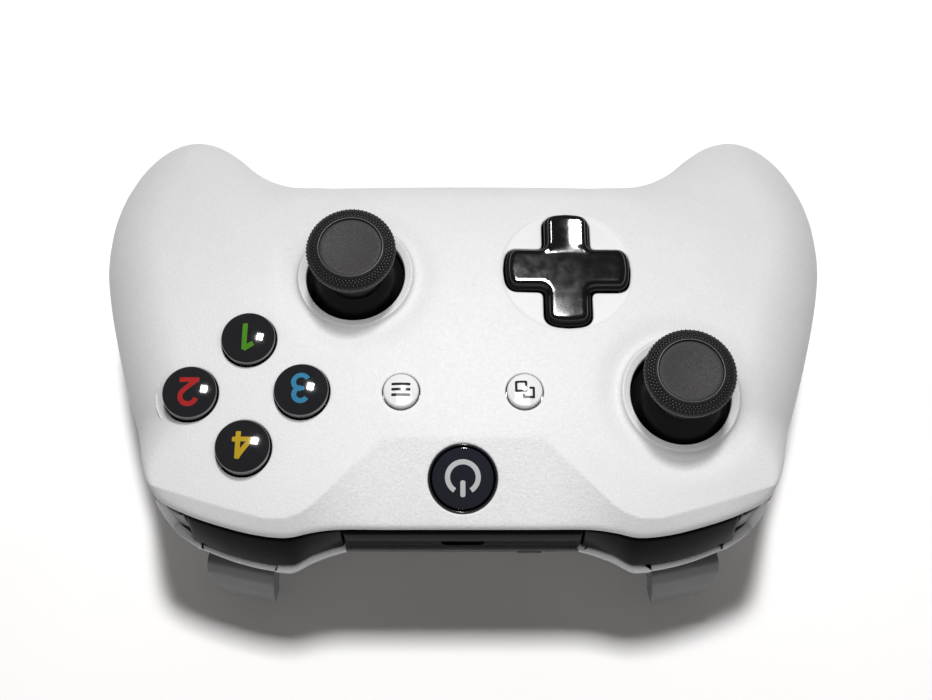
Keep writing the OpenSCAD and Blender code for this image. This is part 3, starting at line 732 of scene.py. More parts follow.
def skin(xy, tri, z, depth, down=False):
    """A sheet over plan triangles with a wall along its edges.
    depth(points) is the wall's height at each edge point."""
    used = np.unique(tri)
    new = -np.ones(len(xy), int)
    new[used] = np.arange(len(used))
    tri = new[tri]
    xy, z = xy[used], z[used]
    edges = boundary([tuple(t) for t in tri])
    ends = sorted({i for e in edges for i in e})
    low_of = {i: len(xy) + k for k, i in enumerate(ends)}
    dep = depth(xy[ends])
    wall = np.column_stack([xy[ends], z[ends] + (dep if down else -dep)])
    verts = np.vstack([np.column_stack([xy, z]), wall])
    faces = [tuple(t) for t in tri]
    for i, j in edges:
        faces.append((low_of[i], low_of[j], j, i))
    if down:
        faces = [tuple(reversed(f)) for f in faces]
    return verts, faces


def apply_mods(ob):
    dg = bpy.context.evaluated_depsgraph_get()
    me = bpy.data.meshes.new_from_object(ob.evaluated_get(dg))
    ob.modifiers.clear()
    old = ob.data
    ob.data = me
    bpy.data.meshes.remove(old)
    return ob


def refresh(ob):
    ob.data.update()
    ob.data.update_tag()
    ob.update_tag()


def outward(bm):
    """Turns the faces of a closed mesh so that they look out."""
    bmesh.ops.recalc_face_normals(bm, faces=bm.faces)
    if bm.calc_volume(signed=True) < 0:
        bmesh.ops.reverse_faces(bm, faces=bm.faces)


def cut(ob, *parts):
    """Cuts closed (verts, faces) shapes out of an object for good."""
    tools = []
    for k, (v, f) in enumerate(parts):
        me = bpy.data.meshes.new("cutter")
        me.from_pydata(to_m(v).tolist(), [], [list(map(int, q)) for q in f])
        me.update()
        t = bpy.data.objects.new("cutter", me)
        bpy.context.scene.collection.objects.link(t)
        bm = bmesh.new()
        bm.from_mesh(me)
        outward(bm)
        bm.to_mesh(me)
        bm.free()
        refresh(t)
        b = ob.modifiers.new("cut", "BOOLEAN")
        b.operation = "DIFFERENCE"
        b.solver = "MANIFOLD"
        b.object = t
        tools.append(t)
    refresh(ob)
    bpy.context.view_layer.update()
    left = ob.evaluated_get(bpy.context.evaluated_depsgraph_get()).data
    if len(left.polygons) < 0.3 * len(ob.data.polygons):
        for b in ob.modifiers:
            b.solver = "EXACT"
        bpy.context.view_layer.update()
    apply_mods(ob)
    for t in tools:
        me = t.data
        bpy.data.objects.remove(t)
        bpy.data.meshes.remove(me)
    ob.data.shade_smooth()
    ob.data.set_sharp_from_angle(angle=math.radians(35))
    return ob


def prism(loop2, a, b, axis):
    """A closed prism on a 2-D loop, along x, y or z."""
    def lift(l, h):
        k = np.full(len(l), h)
        if axis == "z":
            return np.column_stack([l, k])
        if axis == "y":
            return np.column_stack([l[:, 0], k, l[:, 1]])
        return np.column_stack([k, l])
    return loft([lift(loop2, a), lift(loop2, b)])


# ---------------------------------------------------------------- front shell
stick_prof = catmull([(10.0, -0.5), (10.06, -0.3), (10.2, -0.16), (10.5, -0.02), (10.9, 0.17), (11.15, 0.29), (11.32, 0.36), (11.45, 0.37),
                      (11.56, 0.3), (11.66, 0.12), (11.76, -0.1), (11.92, -0.36), (12.15, -0.56), (12.5, -0.68), (13.1, -0.72), (13.8, -0.64),
                      (14.7, -0.46), (15.7, -0.25), (16.8, -0.08), (18.2, 0.0)], 6)


def stick_add(x, y):
    z = 0.0
    for c in (RS, LS):
        r = np.hypot(x - c[0], y - c[1])
        z = z + np.where(r < 18.2, np.interp(r, stick_prof[:, 0], stick_prof[:, 1]), 0.0)
    return z


def pad_add(x, y):
    r = np.hypot(x - DP[0], y - DP[1])
    return -0.2 * (1 - sm(13.05, 13.75, r)) - 0.42 * np.maximum(0, 1 - np.square(r / 13.3))


HOLE_CROSS = cross_loop(25.9, 9.9, 1.7, 0.5, 0.3) + np.array(DP)
HOLES = [(p, 5.56, 1.0) for p in FACE_BTN.values()]
HOLES += [((s * 12.0, 12.0), 3.72, 1.0) for s in (-1, 1)]
HOLES += [((0.0, HB_Y), 6.75, COS_F)]
FIL = 0.32


def front_top(x, y):
    z = face_z(x, y) - drop(rim_d(x, y), edge_r(x, y)) + stick_add(x, y) + pad_add(x, y)
    for c, r, ky in HOLES:
        q = np.hypot(x - c[0], (y - c[1]) / ky) - r
        z = z - drop(np.maximum(q, 0), FIL)
    near = np.hypot(x - DP[0], y - DP[1]) < 14.5
    if near.any():
        q = poly_dist(np.stack([x[near], y[near]], 1), HOLE_CROSS)
        z[near] -= drop(q, FIL)
    return z


def build_front():
    rim = resample(RIM, 0.75, closed=True)
    nrm = normals_2d(rim)
    er = edge_r(rim[:, 0], rim[:, 1])
    pts = []
    for deg in (5, 10, 15, 20, 26, 32, 38, 45, 52, 60, 68, 76, 84, 91):
        c = 1 - math.cos(math.radians(deg))
        ok = (er > 2.5) | np.isin(deg, (20, 45, 68, 91))
        d = er * c
        q = rim + nrm * d[:, None]
        true_d = rim_d(q[:, 0], q[:, 1])
        pts.append(q[ok & (true_d > d * 0.985 - 1e-4)])
    loops = [rim]
    for c, r, ky in HOLES:
        n = int(2 * PI * r / 0.42)
        loops.append(circle(c, r, n, ky))
        for deg in (22.5, 45, 67.5, 90):
            pts.append(circle(c, r + FIL * (1 - math.cos(math.radians(deg))), n, ky))
        pts.append(circle(c, r + 0.75, n // 2, ky))
    for c in (RS, LS):
        loops.append(circle(c, 10.0, 160))
        for r in (10.03, 10.08, 10.16, 10.3, 10.5, 10.75, 11.0, 11.18, 11.32, 11.44, 11.54, 11.62, 11.7, 11.8, 11.92, 12.1, 12.4,
                  12.8, 13.2, 13.7, 14.3, 15.0, 15.8, 16.7, 17.6):
            pts.append(circle(c, r, 160 if r < 13 else 120))
    loops.append(HOLE_CROSS)
    out = ccw(HOLE_CROSS)
    for deg in (22.5, 45, 67.5, 90):
        pts.append(offset_loop(out, -FIL * (1 - math.cos(math.radians(deg)))))
    for r in (13.06, 13.2, 13.35, 13.5, 13.65, 13.8, 14.1):
        q = circle(DP, r, 200)
        pts.append(q[~in_poly(q, HOLE_CROSS)])
    xs = np.linspace(-60, 60, 420)
    cre = np.stack([xs, tab(facet_pts, xs)], 1)
    t = np.gradient(cre, axis=0)
    t /= np.linalg.norm(t, axis=1, keepdims=True)
    cn = np.stack([-t[:, 1], t[:, 0]], 1)
    for o in (-0.9, -0.5, -0.25, -0.1, 0.0, 0.1, 0.25, 0.5, 0.9):
        q = cre + cn * o
        pts.append(q[q[:, 1] < up(q[:, 0]) - 0.9])
    g = hexgrid(-76, 76, -57, 40, 0.95)
    x, y = g[:, 0], g[:, 1]
    ok = (y > low(x)) & (y < up(x))
    g = g[ok]
    x, y = g[:, 0], g[:, 1]
    ok = rim_d(x, y) > edge_r(x, y) * 1.0 + 0.25
    for c in (RS, LS):
        ok &= np.hypot(x - c[0], y - c[1]) > 18.0
    for c, r, ky in HOLES:
        ok &= np.hypot(x - c[0], (y - c[1]) / ky) > r + 0.9
    ok &= np.hypot(x - DP[0], y - DP[1]) > 14.4
    g = g[ok]
    pts.append(g)
    inner = hexgrid(DP[0] - 13.3, DP[0] + 13.3, DP[1] - 13.3, DP[1] + 13.3, 0.7)
    inner = inner[(np.hypot(inner[:, 0] - DP[0], inner[:, 1] - DP[1]) < 12.9)]
    inner = inner[~in_poly(inner, HOLE_CROSS) & (poly_dist(inner, HOLE_CROSS) > 0.5)]
    pts.append(inner)
    allp = np.vstack(pts)
    allp = allp[(allp[:, 1] < up(allp[:, 0]) - 1e-3) & (allp[:, 1] > low(allp[:, 0]) + 1e-3)]
    xy, tri, _ = cdt(allp, loops)
    c = xy[tri].mean(1)
    keep = (c[:, 1] < up(c[:, 0])) & (c[:, 1] > low(c[:, 0]))
    for h, r, ky in HOLES:
        keep &= np.hypot(c[:, 0] - h[0], (c[:, 1] - h[1]) / ky) > r - 0.004
    for h in (RS, LS):
        keep &= np.hypot(c[:, 0] - h[0], c[:, 1] - h[1]) > 9.996
    near = np.hypot(c[:, 0] - DP[0], c[:, 1] - DP[1]) < 13.4
    keep[near] &= ~in_poly(c[near], HOLE_CROSS)
    tri = tri[keep]
    z = front_top(xy[:, 0], xy[:, 1])

    def depth(p):
        return np.where(rim_d(p[:, 0], p[:, 1]) < 0.02, RIM_T, 1.75)

    v, f = skin(xy, tri, z, depth)
    n_tri = len(tri)
    mid = xy[tri].mean(1)
    idx = np.zeros(len(f), int)
    idx[:n_tri] = np.hypot(mid[:, 0] - DP[0], mid[:, 1] - DP[1]) < 13.6
    # the facet's faces take the lighter white, which is painted light
    facet_painted_light = (np.abs(mid[:, 0]) < 30.5) & (mid[:, 1] > tab(facet_pts, mid[:, 0]))
    idx[:n_tri][facet_painted_light] = 2
    ob = make("front_shell_skin", v, f, [M_SHELL, M_DISH, M_FACET_LIT], "housing", ["front_shell"], 50, idx)
    return thicken(ob, 1.75)


build_front()


# ---------------------------------------------------------------- rear shell and grip covers
TR_AT, TR_TURN = np.array([44.5, 41.6]), math.radians(12)


def trig_local(x, y):
    """Plan place in the right trigger's own frame."""
    dx, dy = np.abs(x) - TR_AT[0], y - TR_AT[1]
    c, s = math.cos(TR_TURN), math.sin(TR_TURN)
    return dx * c - dy * s, dx * s + dy * c


def trig_world(xl, yl):
    c, s = math.cos(TR_TURN), math.sin(TR_TURN)
    return TR_AT[0] + xl * c + yl * s, TR_AT[1] - xl * s + yl * c


GRIP = ccw(smooth_loop(resample(np.array([(33, -62), (35, -46), (37, -30), (39, -19), (41, -8), (44.2, 0.6), (48, 8), (51.6, 12.8),
                                          (56, 17), (84, 17), (84, -62)], float), 0.9, closed=True), 14))
LIP_D = 0.16
BAY = rrect(-30.5, 30.5, -20.5, 16.5, 1.2, 5, 30)


def trig_rect():
    pts = [(-7.3, -11.6), (7.3, -11.6), (7.3, 9.0), (-7.3, 9.0)]
    q = resample(fillet_poly([trig_world(*p) for p in pts], [1.2, 1.2, 0, 0], 5), 0.6, closed=True)
    return ccw(q)


TRIG_R = trig_rect()
TRIG_L = ccw(TRIG_R * [-1, 1])


def rear_points(grid):
    rim = resample(RIM_R, 0.8, closed=True)
    nrm = normals_2d(rim)
    rr = rear_r(rim[:, 0], rim[:, 1])
    pts = []
    for deg in (5, 10, 18, 24, 30, 37, 44, 52, 60, 68, 76, 84, 91):
        d = rr * (1 - math.cos(math.radians(deg)))
        q = rim + nrm * d[:, None]
        pts.append(q[rim_rd(q[:, 0], q[:, 1]) > d * 0.985 - 1e-4])
    g = hexgrid(-76, 76, -57, 44, grid)
    x, y = g[:, 0], g[:, 1]
    g = g[(y > low(x)) & (y < up(x) + tab(rear_add, x))]
    g = g[rim_rd(g[:, 0], g[:, 1]) > rear_r(g[:, 0], g[:, 1]) + 0.3]
    return rim, pts, g


def seam_drop(p, loops, f=0.3):
    z = np.zeros(len(p))
    for lp in loops:
        z += drop(poly_dist(p, lp), f)
    return z


def inside_rear(c):
    return (c[:, 1] > low(c[:, 0])) & (c[:, 1] < np.interp(np.abs(c[:, 0]), RIM_RH[: len(UP), 0], RIM_RH[: len(UP), 1]))


def build_rear():
    rim, pts, g = rear_points(1.3)
    lip = resample(offset_loop(rim, LIP_D), 0.8, closed=True)
    outer = offset_loop(GRIP, -0.1)
    seams = [outer, ccw(outer * [-1, 1])]
    rows = []
    for lp in seams:
        for o in (-0.06, -0.16, -0.3, -0.6):
            rows.append(offset_loop(lp, o))
    loops = [rim, lip, BAY, TRIG_R, TRIG_L] + seams
    allp = np.vstack(pts + rows + [g])
    allp = allp[inside_rear(allp) & (rim_rd(allp[:, 0], allp[:, 1]) > 0.01)]
    allp = allp[~(in_poly(allp, seams[0]) | in_poly(allp, seams[1]) | in_poly(allp, BAY))]
    xy, tri, _ = cdt(allp, loops)
    c = xy[tri].mean(1)
    keep = inside_rear(c)
    keep &= ~(in_poly(c, seams[0]) | in_poly(c, seams[1]) | in_poly(c, BAY))
    hole = in_poly(c, TRIG_R) | in_poly(c, TRIG_L)
    tri = tri[keep & ~hole]
    dv = rim_rd(xy[:, 0], xy[:, 1])
    dv[dv < 2e-3] = 0.0
    z = rear_z(xy[:, 0], xy[:, 1], dv) + seam_drop(xy, seams)

    def depth(p):
        return np.where(rim_rd(p[:, 0], p[:, 1]) < 0.02, RIM_T, 0.9)

    v, f = skin(xy, tri, z, depth, down=True)
    mid = np.array([np.mean([v[i] for i in q], axis=0) for q in f])
    # the rear shell's faces under the trim take the dark strip grey, which is painted shade
    idx = ((np.abs(mid[:, 0]) < 23.3) & (mid[:, 1] > 35.5)).astype(int)
    ob = make("rear_shell_skin", v, f, [M_REAR, M_STRIP_SHADE], "housing", ["rear_shell"], 50, idx)
    thicken(ob, 1.75)
    ring = np.array([(8 + 3 * math.cos(t), -15.3 + 3 * math.sin(t)) for t in np.linspace(0, 2 * PI, 48, endpoint=False)])
    slot = fillet_poly([(-13.4, -17.9), (-0.6, -17.9), (-0.6, -12.7), (-13.4, -12.7)], 1.0)
    oval = fillet_poly([(-16.35, -21.35), (-10.25, -21.35), (-10.25, -19.05), (-16.35, -19.05)], 1.14)
    cut(ob, prism(ring, -45, -33, "y"), prism(slot, -45, -33, "y"), prism(oval, 34, 46, "y"))
    # the flange that carries the battery door
    v, f = loft([np.column_stack([rrect(-32 + a, 32 - a, -22 + a, 18 - a, 2.0), np.full(4 * 11 + 4 * 5, h)])
                 for a, h in ((1.5, -25.6), (0.3, -25.6), (0.0, -25.3), (0.0, -22.8), (1.5, -22.8), (1.5, -25.6))], False, False)
    make("door_flange", v, f, M_REAR, "housing", ())
    return ob


def build_grip(side):
    rim, pts, g = rear_points(1.1)
    lp = offset_loop(GRIP, 0.1)
    if side < 0:
        lp = ccw(lp * [-1, 1])
    rows = [offset_loop(lp, o) for o in (0.06, 0.16, 0.3, 0.6)]
    allp = np.vstack(pts + rows + [g])
    allp = allp[inside_rear(allp) & in_poly(allp, lp) & (rim_rd(allp[:, 0], allp[:, 1]) > 0.01)]
    xy, tri, _ = cdt(allp, [rim, lp])
    c = xy[tri].mean(1)
    tri = tri[inside_rear(c) & in_poly(c, lp)]
    dv = rim_rd(xy[:, 0], xy[:, 1])
    dv[dv < 2e-3] = 0.0
    z = rear_z(xy[:, 0], xy[:, 1], dv) + seam_drop(xy, [lp])

    def depth(p):
        return np.where(rim_rd(p[:, 0], p[:, 1]) < 0.02, RIM_T, 0.9)

    v, f = skin(xy, tri, z, depth, down=True)
    name = "right" if side > 0 else "left"
    ob = make(name + "_grip_skin", v, f, M_GRIP, "housing", [name + "_grip_cover"], 50)
    return thicken(ob, 1.75)


build_rear()
build_grip(1)
build_grip(-1)


# ---------------------------------------------------------------- bumpers and trim
def solid(name, part, mats, body, nodes=(), sharp=35.0, index=None, weld=1e-7):
    """A closed piece: its points are welded and its faces turned outward."""
    v, f = part
    ob = make(name, v, f, mats, body, nodes, sharp, index)
    bm = bmesh.new()
    bm.from_mesh(ob.data)
    bmesh.ops.remove_doubles(bm, verts=bm.verts, dist=weld)
    outward(bm)
    bm.to_mesh(ob.data)
    bm.free()
    refresh(ob)
    ob.data.shade_smooth()
    ob.data.set_sharp_from_angle(angle=math.radians(sharp))
    return ob


def bump_section(x):
    u, a = float(up(x)), float(tab(bump_add, x))
    pts = [(u - 5.5, BUMP_TOP), (u - 0.5, BUMP_TOP), (u + 0.12 * a, BUMP_TOP - 0.7), (u + a, BUMP_BOT + 1.2),
           (u + a - 0.5, BUMP_BOT), (u - 5.5, BUMP_BOT)]
    return ccw(fillet_poly(pts, [0.3, 0.6, 1.0, 0.8, 0.45, 0.3], 6))


def bumper_part():
    x0, x1 = 23.5, 53.6
    xs = [x0, x0 + 0.06, x0 + 0.18, x0 + 0.4] + list(np.linspace(x0 + 1.0, x1 - 1.0, 56)) + [x1 - 0.5, x1 - 0.22, x1 - 0.07, x1]
    ins = [0.34, 0.18, 0.06, 0.0] + [0.0] * 56 + [0.0, 0.08, 0.24, 0.42]
    loops = []
    for x, o in zip(xs, ins):
        s = bump_section(x)
        s = offset_loop(s, o) if o else s
        loops.append(np.column_stack([np.full(len(s), x), s]))
    return loft(loops)


solid("right_bumper_skin", bumper_part(), M_GLOSS, "right_bumper", ["right_bumper"], 50)
solid("left_bumper_skin", flip_x(bumper_part()), M_GLOSS, "left_bumper", ["left_bumper"], 50)


def trim_part():
    prof = ccw(fillet_poly([(34.3, -8.9), (35.9, -8.9), (36.6, BUMP_TOP), (37.3, BUMP_TOP), (38.2, -9.2), (38.7, -12.5), (38.7, -16.8),
                            (38.3, BUMP_BOT), (34.3, BUMP_BOT)], [0.2, 0.3, 0.2, 0.4, 0.9, 2.0, 0.5, 0.3, 0.2], 6))
    xs = [-23.1, -23.05, -22.9, -22.7] + list(np.linspace(-22, 22, 34)) + [22.7, 22.9, 23.05, 23.1]
    ins = [0.25, 0.12, 0.03, 0.0] + [0.0] * 34 + [0.0, 0.03, 0.12, 0.25]
    loops = []
    for x, o in zip(xs, ins):
        s = offset_loop(prof, o) if o else prof
        loops.append(np.column_stack([np.full(len(s), x), s]))
    return loft(loops)


trim = solid("bumper_trim_skin", trim_part(), M_GLOSS, "housing", ["bumper_trim"], 50)
slot_loop = fillet_poly([(-3.4, -15.6), (3.4, -15.6), (4.2, -14.7), (4.2, -12.3), (-4.2, -12.3), (-4.2, -14.7)], 0.5)
cut(trim, prism(slot_loop, 33.0, 45.0, "y"))


def cheek_part(s):
    """Closes the opening past the end of a bumper, a little behind the shell's edge."""
    plan = ccw(smooth_loop(resample(np.array([(53.95, 29.6), (57.3, 29.6), (58.3, 31.7), (57.2, 33.2), (55.5, 34.2), (53.95, 34.9)]), 0.25,
                                    closed=True), 3))
    loops = []
    for o, z in ((0.5, -18.4), (0.15, -18.4), (0.0, -18.2), (0.0, -8.6), (0.1, -8.35), (0.3, -8.2), (0.8, -8.2)):
        q = offset_loop(plan, o)
        loops.append(np.column_stack([q, np.full(len(q), z)]))
    part = loft(loops)
    return part if s > 0 else flip_x(part)


def lip_part(s):
    """The thin lip of the rear shell over a trigger."""
    loops = []
    for x in np.linspace(35.4, 53.6, 28):
        u = float(up(x) + tab(rear_add, x))
        q = ccw(fillet_poly([(u - 1.4, -18.7), (u - 0.03, -18.7), (u - 0.03, -19.55), (u - 1.4, -19.55)], 0.3, 5))
        loops.append(np.column_stack([np.full(len(q), x), q]))
    part = loft(loops)
    return part if s > 0 else flip_x(part)


for s, n in ((1, "right"), (-1, "left")):
    solid(n + "_trigger_lip", lip_part(s), M_REAR, "housing", (), 50)
    solid(n + "_cheek", cheek_part(s), M_CHEEK_SHADE, "housing", (), 50)


# ---------------------------------------------------------------- battery door
def door_part():
    def ring(a, z, r):
        p = rrect(-33 + a, 33 - a, -23 + a, 19 - a, max(r - a, 0.6), 12, 14)
        return np.column_stack([p, np.full(len(p), z)])
    loops = [ring(3.4, -40.1, 9), ring(2.6, -40.0, 9), ring(2.05, -39.6, 9), ring(1.9, -39.0, 9), ring(1.9, -27.6, 9), ring(1.7, -27.32, 9),
             ring(0.35, -27.32, 9), ring(0.1, -27.45, 9), ring(0.0, -27.7, 9), ring(0.0, -36.5, 9), ring(0.06, -38.0, 9),
             ring(0.25, -39.2, 9), ring(0.6, -40.2, 9), ring(1.1, -41.0, 9), ring(1.75, -41.55, 9), ring(2.5, -41.87, 9),
             ring(3.4, -42.0, 9), ring(8.0, -42.0, 9)]
    return loft(loops)


door = solid("battery_door_skin", door_part(), M_REAR, "battery_door", ["battery_door"], 40)
# finger latch: a U-shaped groove round the tab, and a recessed arrow
u_out = fillet_poly([(-8, 19.6), (-8, 11.4), (8, 11.4), (8, 19.6), (7.3, 19.6), (7.3, 12.1), (-7.3, 12.1), (-7.3, 19.6)],
                    [0.05, 2.2, 2.2, 0.05, 0.05, 1.6, 1.6, 0.05], 6)
arrow = fillet_poly([(0, 17.2), (-2.4, 14.6), (2.4, 14.6)], 0.35, 5)
cut(door, prism(u_out, -43.0, -41.3, "z"), prism(arrow, -43.0, -41.55, "z"))


def rib_parts():
    parts = []
    for k in range(3):
        z = -37.4 + k * 2.2
        prof = fillet_poly([(18.6, z - 0.45), (19.25, z - 0.25), (19.25, z + 0.25), (18.6, z + 0.45)], 0.2, 5)
        loops = []
        for x, o in ((-6.0, 0.22), (-5.85, 0.08), (-5.5, 0.0), (5.5, 0.0), (5.85, 0.08), (6.0, 0.22)):
            q = offset_loop(ccw(prof), o)
            loops.append(np.column_stack([np.full(len(q), x), q]))
        parts.append(loft(loops))
    return join(*parts)


solid("door_latch_ribs", rib_parts(), M_REAR, "battery_door", (), 50)


# ---------------------------------------------------------------- triggers
trig_pts = [(-10.6, -21), (-9, -20.3), (-6.5, -20.3), (-2.6, -21), (0.2, -21.2), (1.9, -24), (3.3, -28), (4, -32),
            (3.7, -33.4), (2.3, -33.8), (0.9, -31), (-0.6, -27.8), (-2.6, -26), (-6, -25.3), (-10, -25), (-10.8, -23)]
trig_prof = ccw(smooth_loop(resample(fillet_poly(trig_pts, [0.6, 0.6, 1, 1.5, 1.2, 3, 6, 3, 0.9, 0.9, 3, 3, 3, 3, 0.8, 0.8], 5), 0.3, closed=True), 2))


def build_trigger(name, s):
    me = bpy.data.meshes.new(name)
    bm = bmesh.new()
    hw = 6.9
    rings = []
    for x in np.linspace(-hw, hw, 24):
        rings.append([bm.verts.new((x, p[0], p[1])) for p in trig_prof])
    m = len(trig_prof)
    for a, b in zip(rings[:-1], rings[1:]):
        for k in range(m):
            bm.faces.new((a[k], b[k], b[(k + 1) % m], a[(k + 1) % m]))
    bm.faces.new(list(reversed(rings[0])))
    bm.faces.new(rings[-1])
    bmesh.ops.recalc_face_normals(bm, faces=bm.faces)

    def slice_off(co, no):
        r = bmesh.ops.bisect_plane(bm, geom=bm.verts[:] + bm.edges[:] + bm.faces[:], dist=1e-5, plane_co=co, plane_no=no, clear_outer=True)
        rim = [e for e in r["geom_cut"] if isinstance(e, bmesh.types.BMEdge)]
        bmesh.ops.holes_fill(bm, edges=rim, sides=0)
        bmesh.ops.recalc_face_normals(bm, faces=bm.faces)

    # the outer lower corner slopes back to the hand
    t = math.radians(24)
    slice_off((7.1, 0, -24.0), (math.cos(t), 0, -math.sin(t)))
    # the inner lower corner is rounded
    r = 2.8
    for a in (195, 210, 225, 240, 255):
        n = (math.cos(math.radians(a)), 0, math.sin(math.radians(a)))
        slice_off((-hw + r + r * n[0], 0, -33.8 + r + r * n[2]), n)
    c, q = math.cos(TR_TURN), math.sin(TR_TURN)
    for v in bm.verts:
        x, y, z = v.co
        wx, wy = TR_AT[0] + x * c + y * q, TR_AT[1] - x * q + y * c
        v.co = to_m((s * wx, wy, z))
    if s < 0:
        bmesh.ops.reverse_faces(bm, faces=bm.faces)
    outward(bm)
    bm.to_mesh(me)
    bm.free()
    me.materials.append(M_TRIG_SHADED)
    ob = bpy.data.objects.new(name, me)
    bpy.context.scene.collection.objects.link(ob)
    bv = ob.modifiers.new("edges", "BEVEL")
    bv.width = 0.00045
    bv.segments = 3
    bv.limit_method = "ANGLE"
    bv.angle_limit = math.radians(28)
    apply_mods(ob)
    ob.data.shade_smooth()
    ob.data.set_sharp_from_angle(angle=math.radians(32))
    node = "right_trigger" if s > 0 else "left_trigger"
    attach(ob, node)
    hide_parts(node)
    return ob


build_trigger("right_trigger_skin", 1)
build_trigger("left_trigger_skin", -1)


# ---------------------------------------------------------------- small springs
def coil_part(r0, r1, length, turns, wire, n_side=8, per_turn=26, flat=0.75):
    """A wire wound along X from 0 to length, with closed end turns."""
    total = turns + 2 * flat
    steps = int(total * per_turn)
    pts = []
    for i in range(steps + 1):
        t = total * i / steps
        k = min(1.0, max(0.0, (t - flat) / turns))
        r = r0 + (r1 - r0) * k
        pts.append((length * k, r * math.cos(2 * PI * t), r * math.sin(2 * PI * t)))
    pts = np.array(pts)
    tan = np.gradient(pts, axis=0)
    tan /= np.linalg.norm(tan, axis=1, keepdims=True)
    out = pts * [0, 1, 1]
    out /= np.linalg.norm(out, axis=1, keepdims=True)
    side = np.cross(tan, out)
    loops = []
    for p, o, sd in zip(pts, out, side):
        loops.append(np.array([p + wire * (math.cos(a) * o + math.sin(a) * sd) for a in np.linspace(0, 2 * PI, n_side, endpoint=False)]))
    return loft(loops)


def trigger_springs():
    parts = []
    for s in (1, -1):
        c = moved(coil_part(1.5, 1.5, 3.9, 4.5, 0.3), (-1.95, 0, 0))
        x, y = trig_world(0.0, -8.0)
        p = moved(c, (x, y, -22.5), rot_z(-TR_TURN))
        parts.append(p if s > 0 else flip_x(p))
    return join(*parts)


solid("trigger_coil_springs", trigger_springs(), M_STEEL, "housing", ["trigger_springs"], 60)


# ---------------------------------------------------------------- thumbsticks
def grid_faces(rows, n, start=0):
    """Quads of a closed band of rows with n points each."""
    k = np.arange(n)
    k2 = (k + 1) % n
    out = []
    for j in range(rows - 1):
        a, b = start + j * n, start + (j + 1) * n
        out.append(np.stack([a + k, a + k2, b + k2, b + k], 1))
    return np.vstack(out).tolist()


def build_stick(side, at):
    piv = (at[0], at[1], float(crown(at[0], at[1])) - 9.0)
    body = side + "_thumbstick"
    n, grooves, pitch, depth = 528, 66, 0.98, 0.3
    band = resample(catmull([(4.4, 14.9), (5.8, 14.95), (6.6, 15.2), (7.15, 15.75), (7.6, 16.6), (8.02, 17.6), (8.38, 18.6), (8.66, 19.5),
                             (8.79, 20.15), (8.74, 20.62), (8.5, 21.0), (8.1, 21.26), (7.5, 21.45), (6.95, 21.56), (6.5, 21.6)], 10), 0.12)
    s = np.concatenate([[0], np.cumsum(np.linalg.norm(np.diff(band, axis=0), axis=1))])
    t = np.gradient(band, axis=0)
    t /= np.linalg.norm(t, axis=1, keepdims=True)
    out = np.stack([t[:, 1], -t[:, 0]], 1)
    w = sm(1.9, 2.3, s) * (1 - sm(s[-1] - 0.42, s[-1] - 0.12, s))
    a = np.linspace(0, 2 * PI, n, endpoint=False)
    g = grooves * a / (2 * PI)
    u = (g[None, :] + s[:, None] / pitch) % 1.0
    v = (g[None, :] - s[:, None] / pitch) % 1.0
    h = np.minimum(1 - np.abs(2 * u - 1), 1 - np.abs(2 * v - 1))
    sink = depth * (1 - np.minimum(h / 0.8, 1.0)) * w[:, None]
    rim = np.array([(6.42, 21.655), (6.34, 21.69), (6.25, 21.7), (6.16, 21.685), (6.09, 21.62), (6.05, 21.5), (6.02, 21.38), (5.97, 21.31),
                    (5.9, 21.3), (5.8, 21.33), (5.65, 21.345), (5.2, 21.32), (4.6, 21.27), (3.9, 21.21), (3.1, 21.15), (2.2, 21.1),
                    (1.3, 21.065), (0.6, 21.05)])
    rows = len(band) + len(rim)
    r = np.vstack([band[:, 0][:, None] - out[:, 0][:, None] * sink, np.tile(rim[:, 0][:, None], (1, n))])
    z = np.vstack([band[:, 1][:, None] - out[:, 1][:, None] * sink, np.tile(rim[:, 1][:, None], (1, n))])
    verts = np.stack([r * np.cos(a), r * np.sin(a), z], 2).reshape(-1, 3)
    faces = grid_faces(rows, n)
    k = np.arange(n)
    last = (rows - 1) * n
    faces += [tuple(reversed(k.tolist()))] + [(last + i, last + (i + 1) % n, rows * n) for i in range(n)]
    verts = np.vstack([verts, [(0, 0, 21.045)]])
    idx = np.zeros(len(faces), int)
    idx[(len(band) + 4) * n:] = 1
    idx[(rows - 1) * n] = 0
    solid(side + "_stick_cap", moved((verts, faces), piv), [M_KNURL, M_RUBBER], body, [body], 60, idx, 2e-9)
    r1, r0 = 11.42, 10.95
    prof = [(0, -3), (1.3, -3), (1.5, -2.8), (1.5, 10.7)]
    a0, a1 = math.acos(1.6 / r0), math.asin(3.0 / r0)
    prof += [(r0 * math.cos(t), r0 * math.sin(t)) for t in np.linspace(a0, a1, 14)]
    b1 = math.acos(5.85 / r1)
    prof += [(r1 * math.cos(t), r1 * math.sin(t)) for t in np.linspace(math.asin(3.0 / r1), b1, 26)]
    prof += [(5.62, 11.0), (5.42, 11.35), (5.2, 11.9), (5.0, 12.6), (4.85, 13.4), (4.8, 14.1), (4.95, 14.6), (5.4, 14.93), (0, 14.98)]
    solid(side + "_stick_stem", moved(revolve(prof, 96), piv), M_STEM, body, (), 40)


build_stick("right", RS)
build_stick("left", LS)


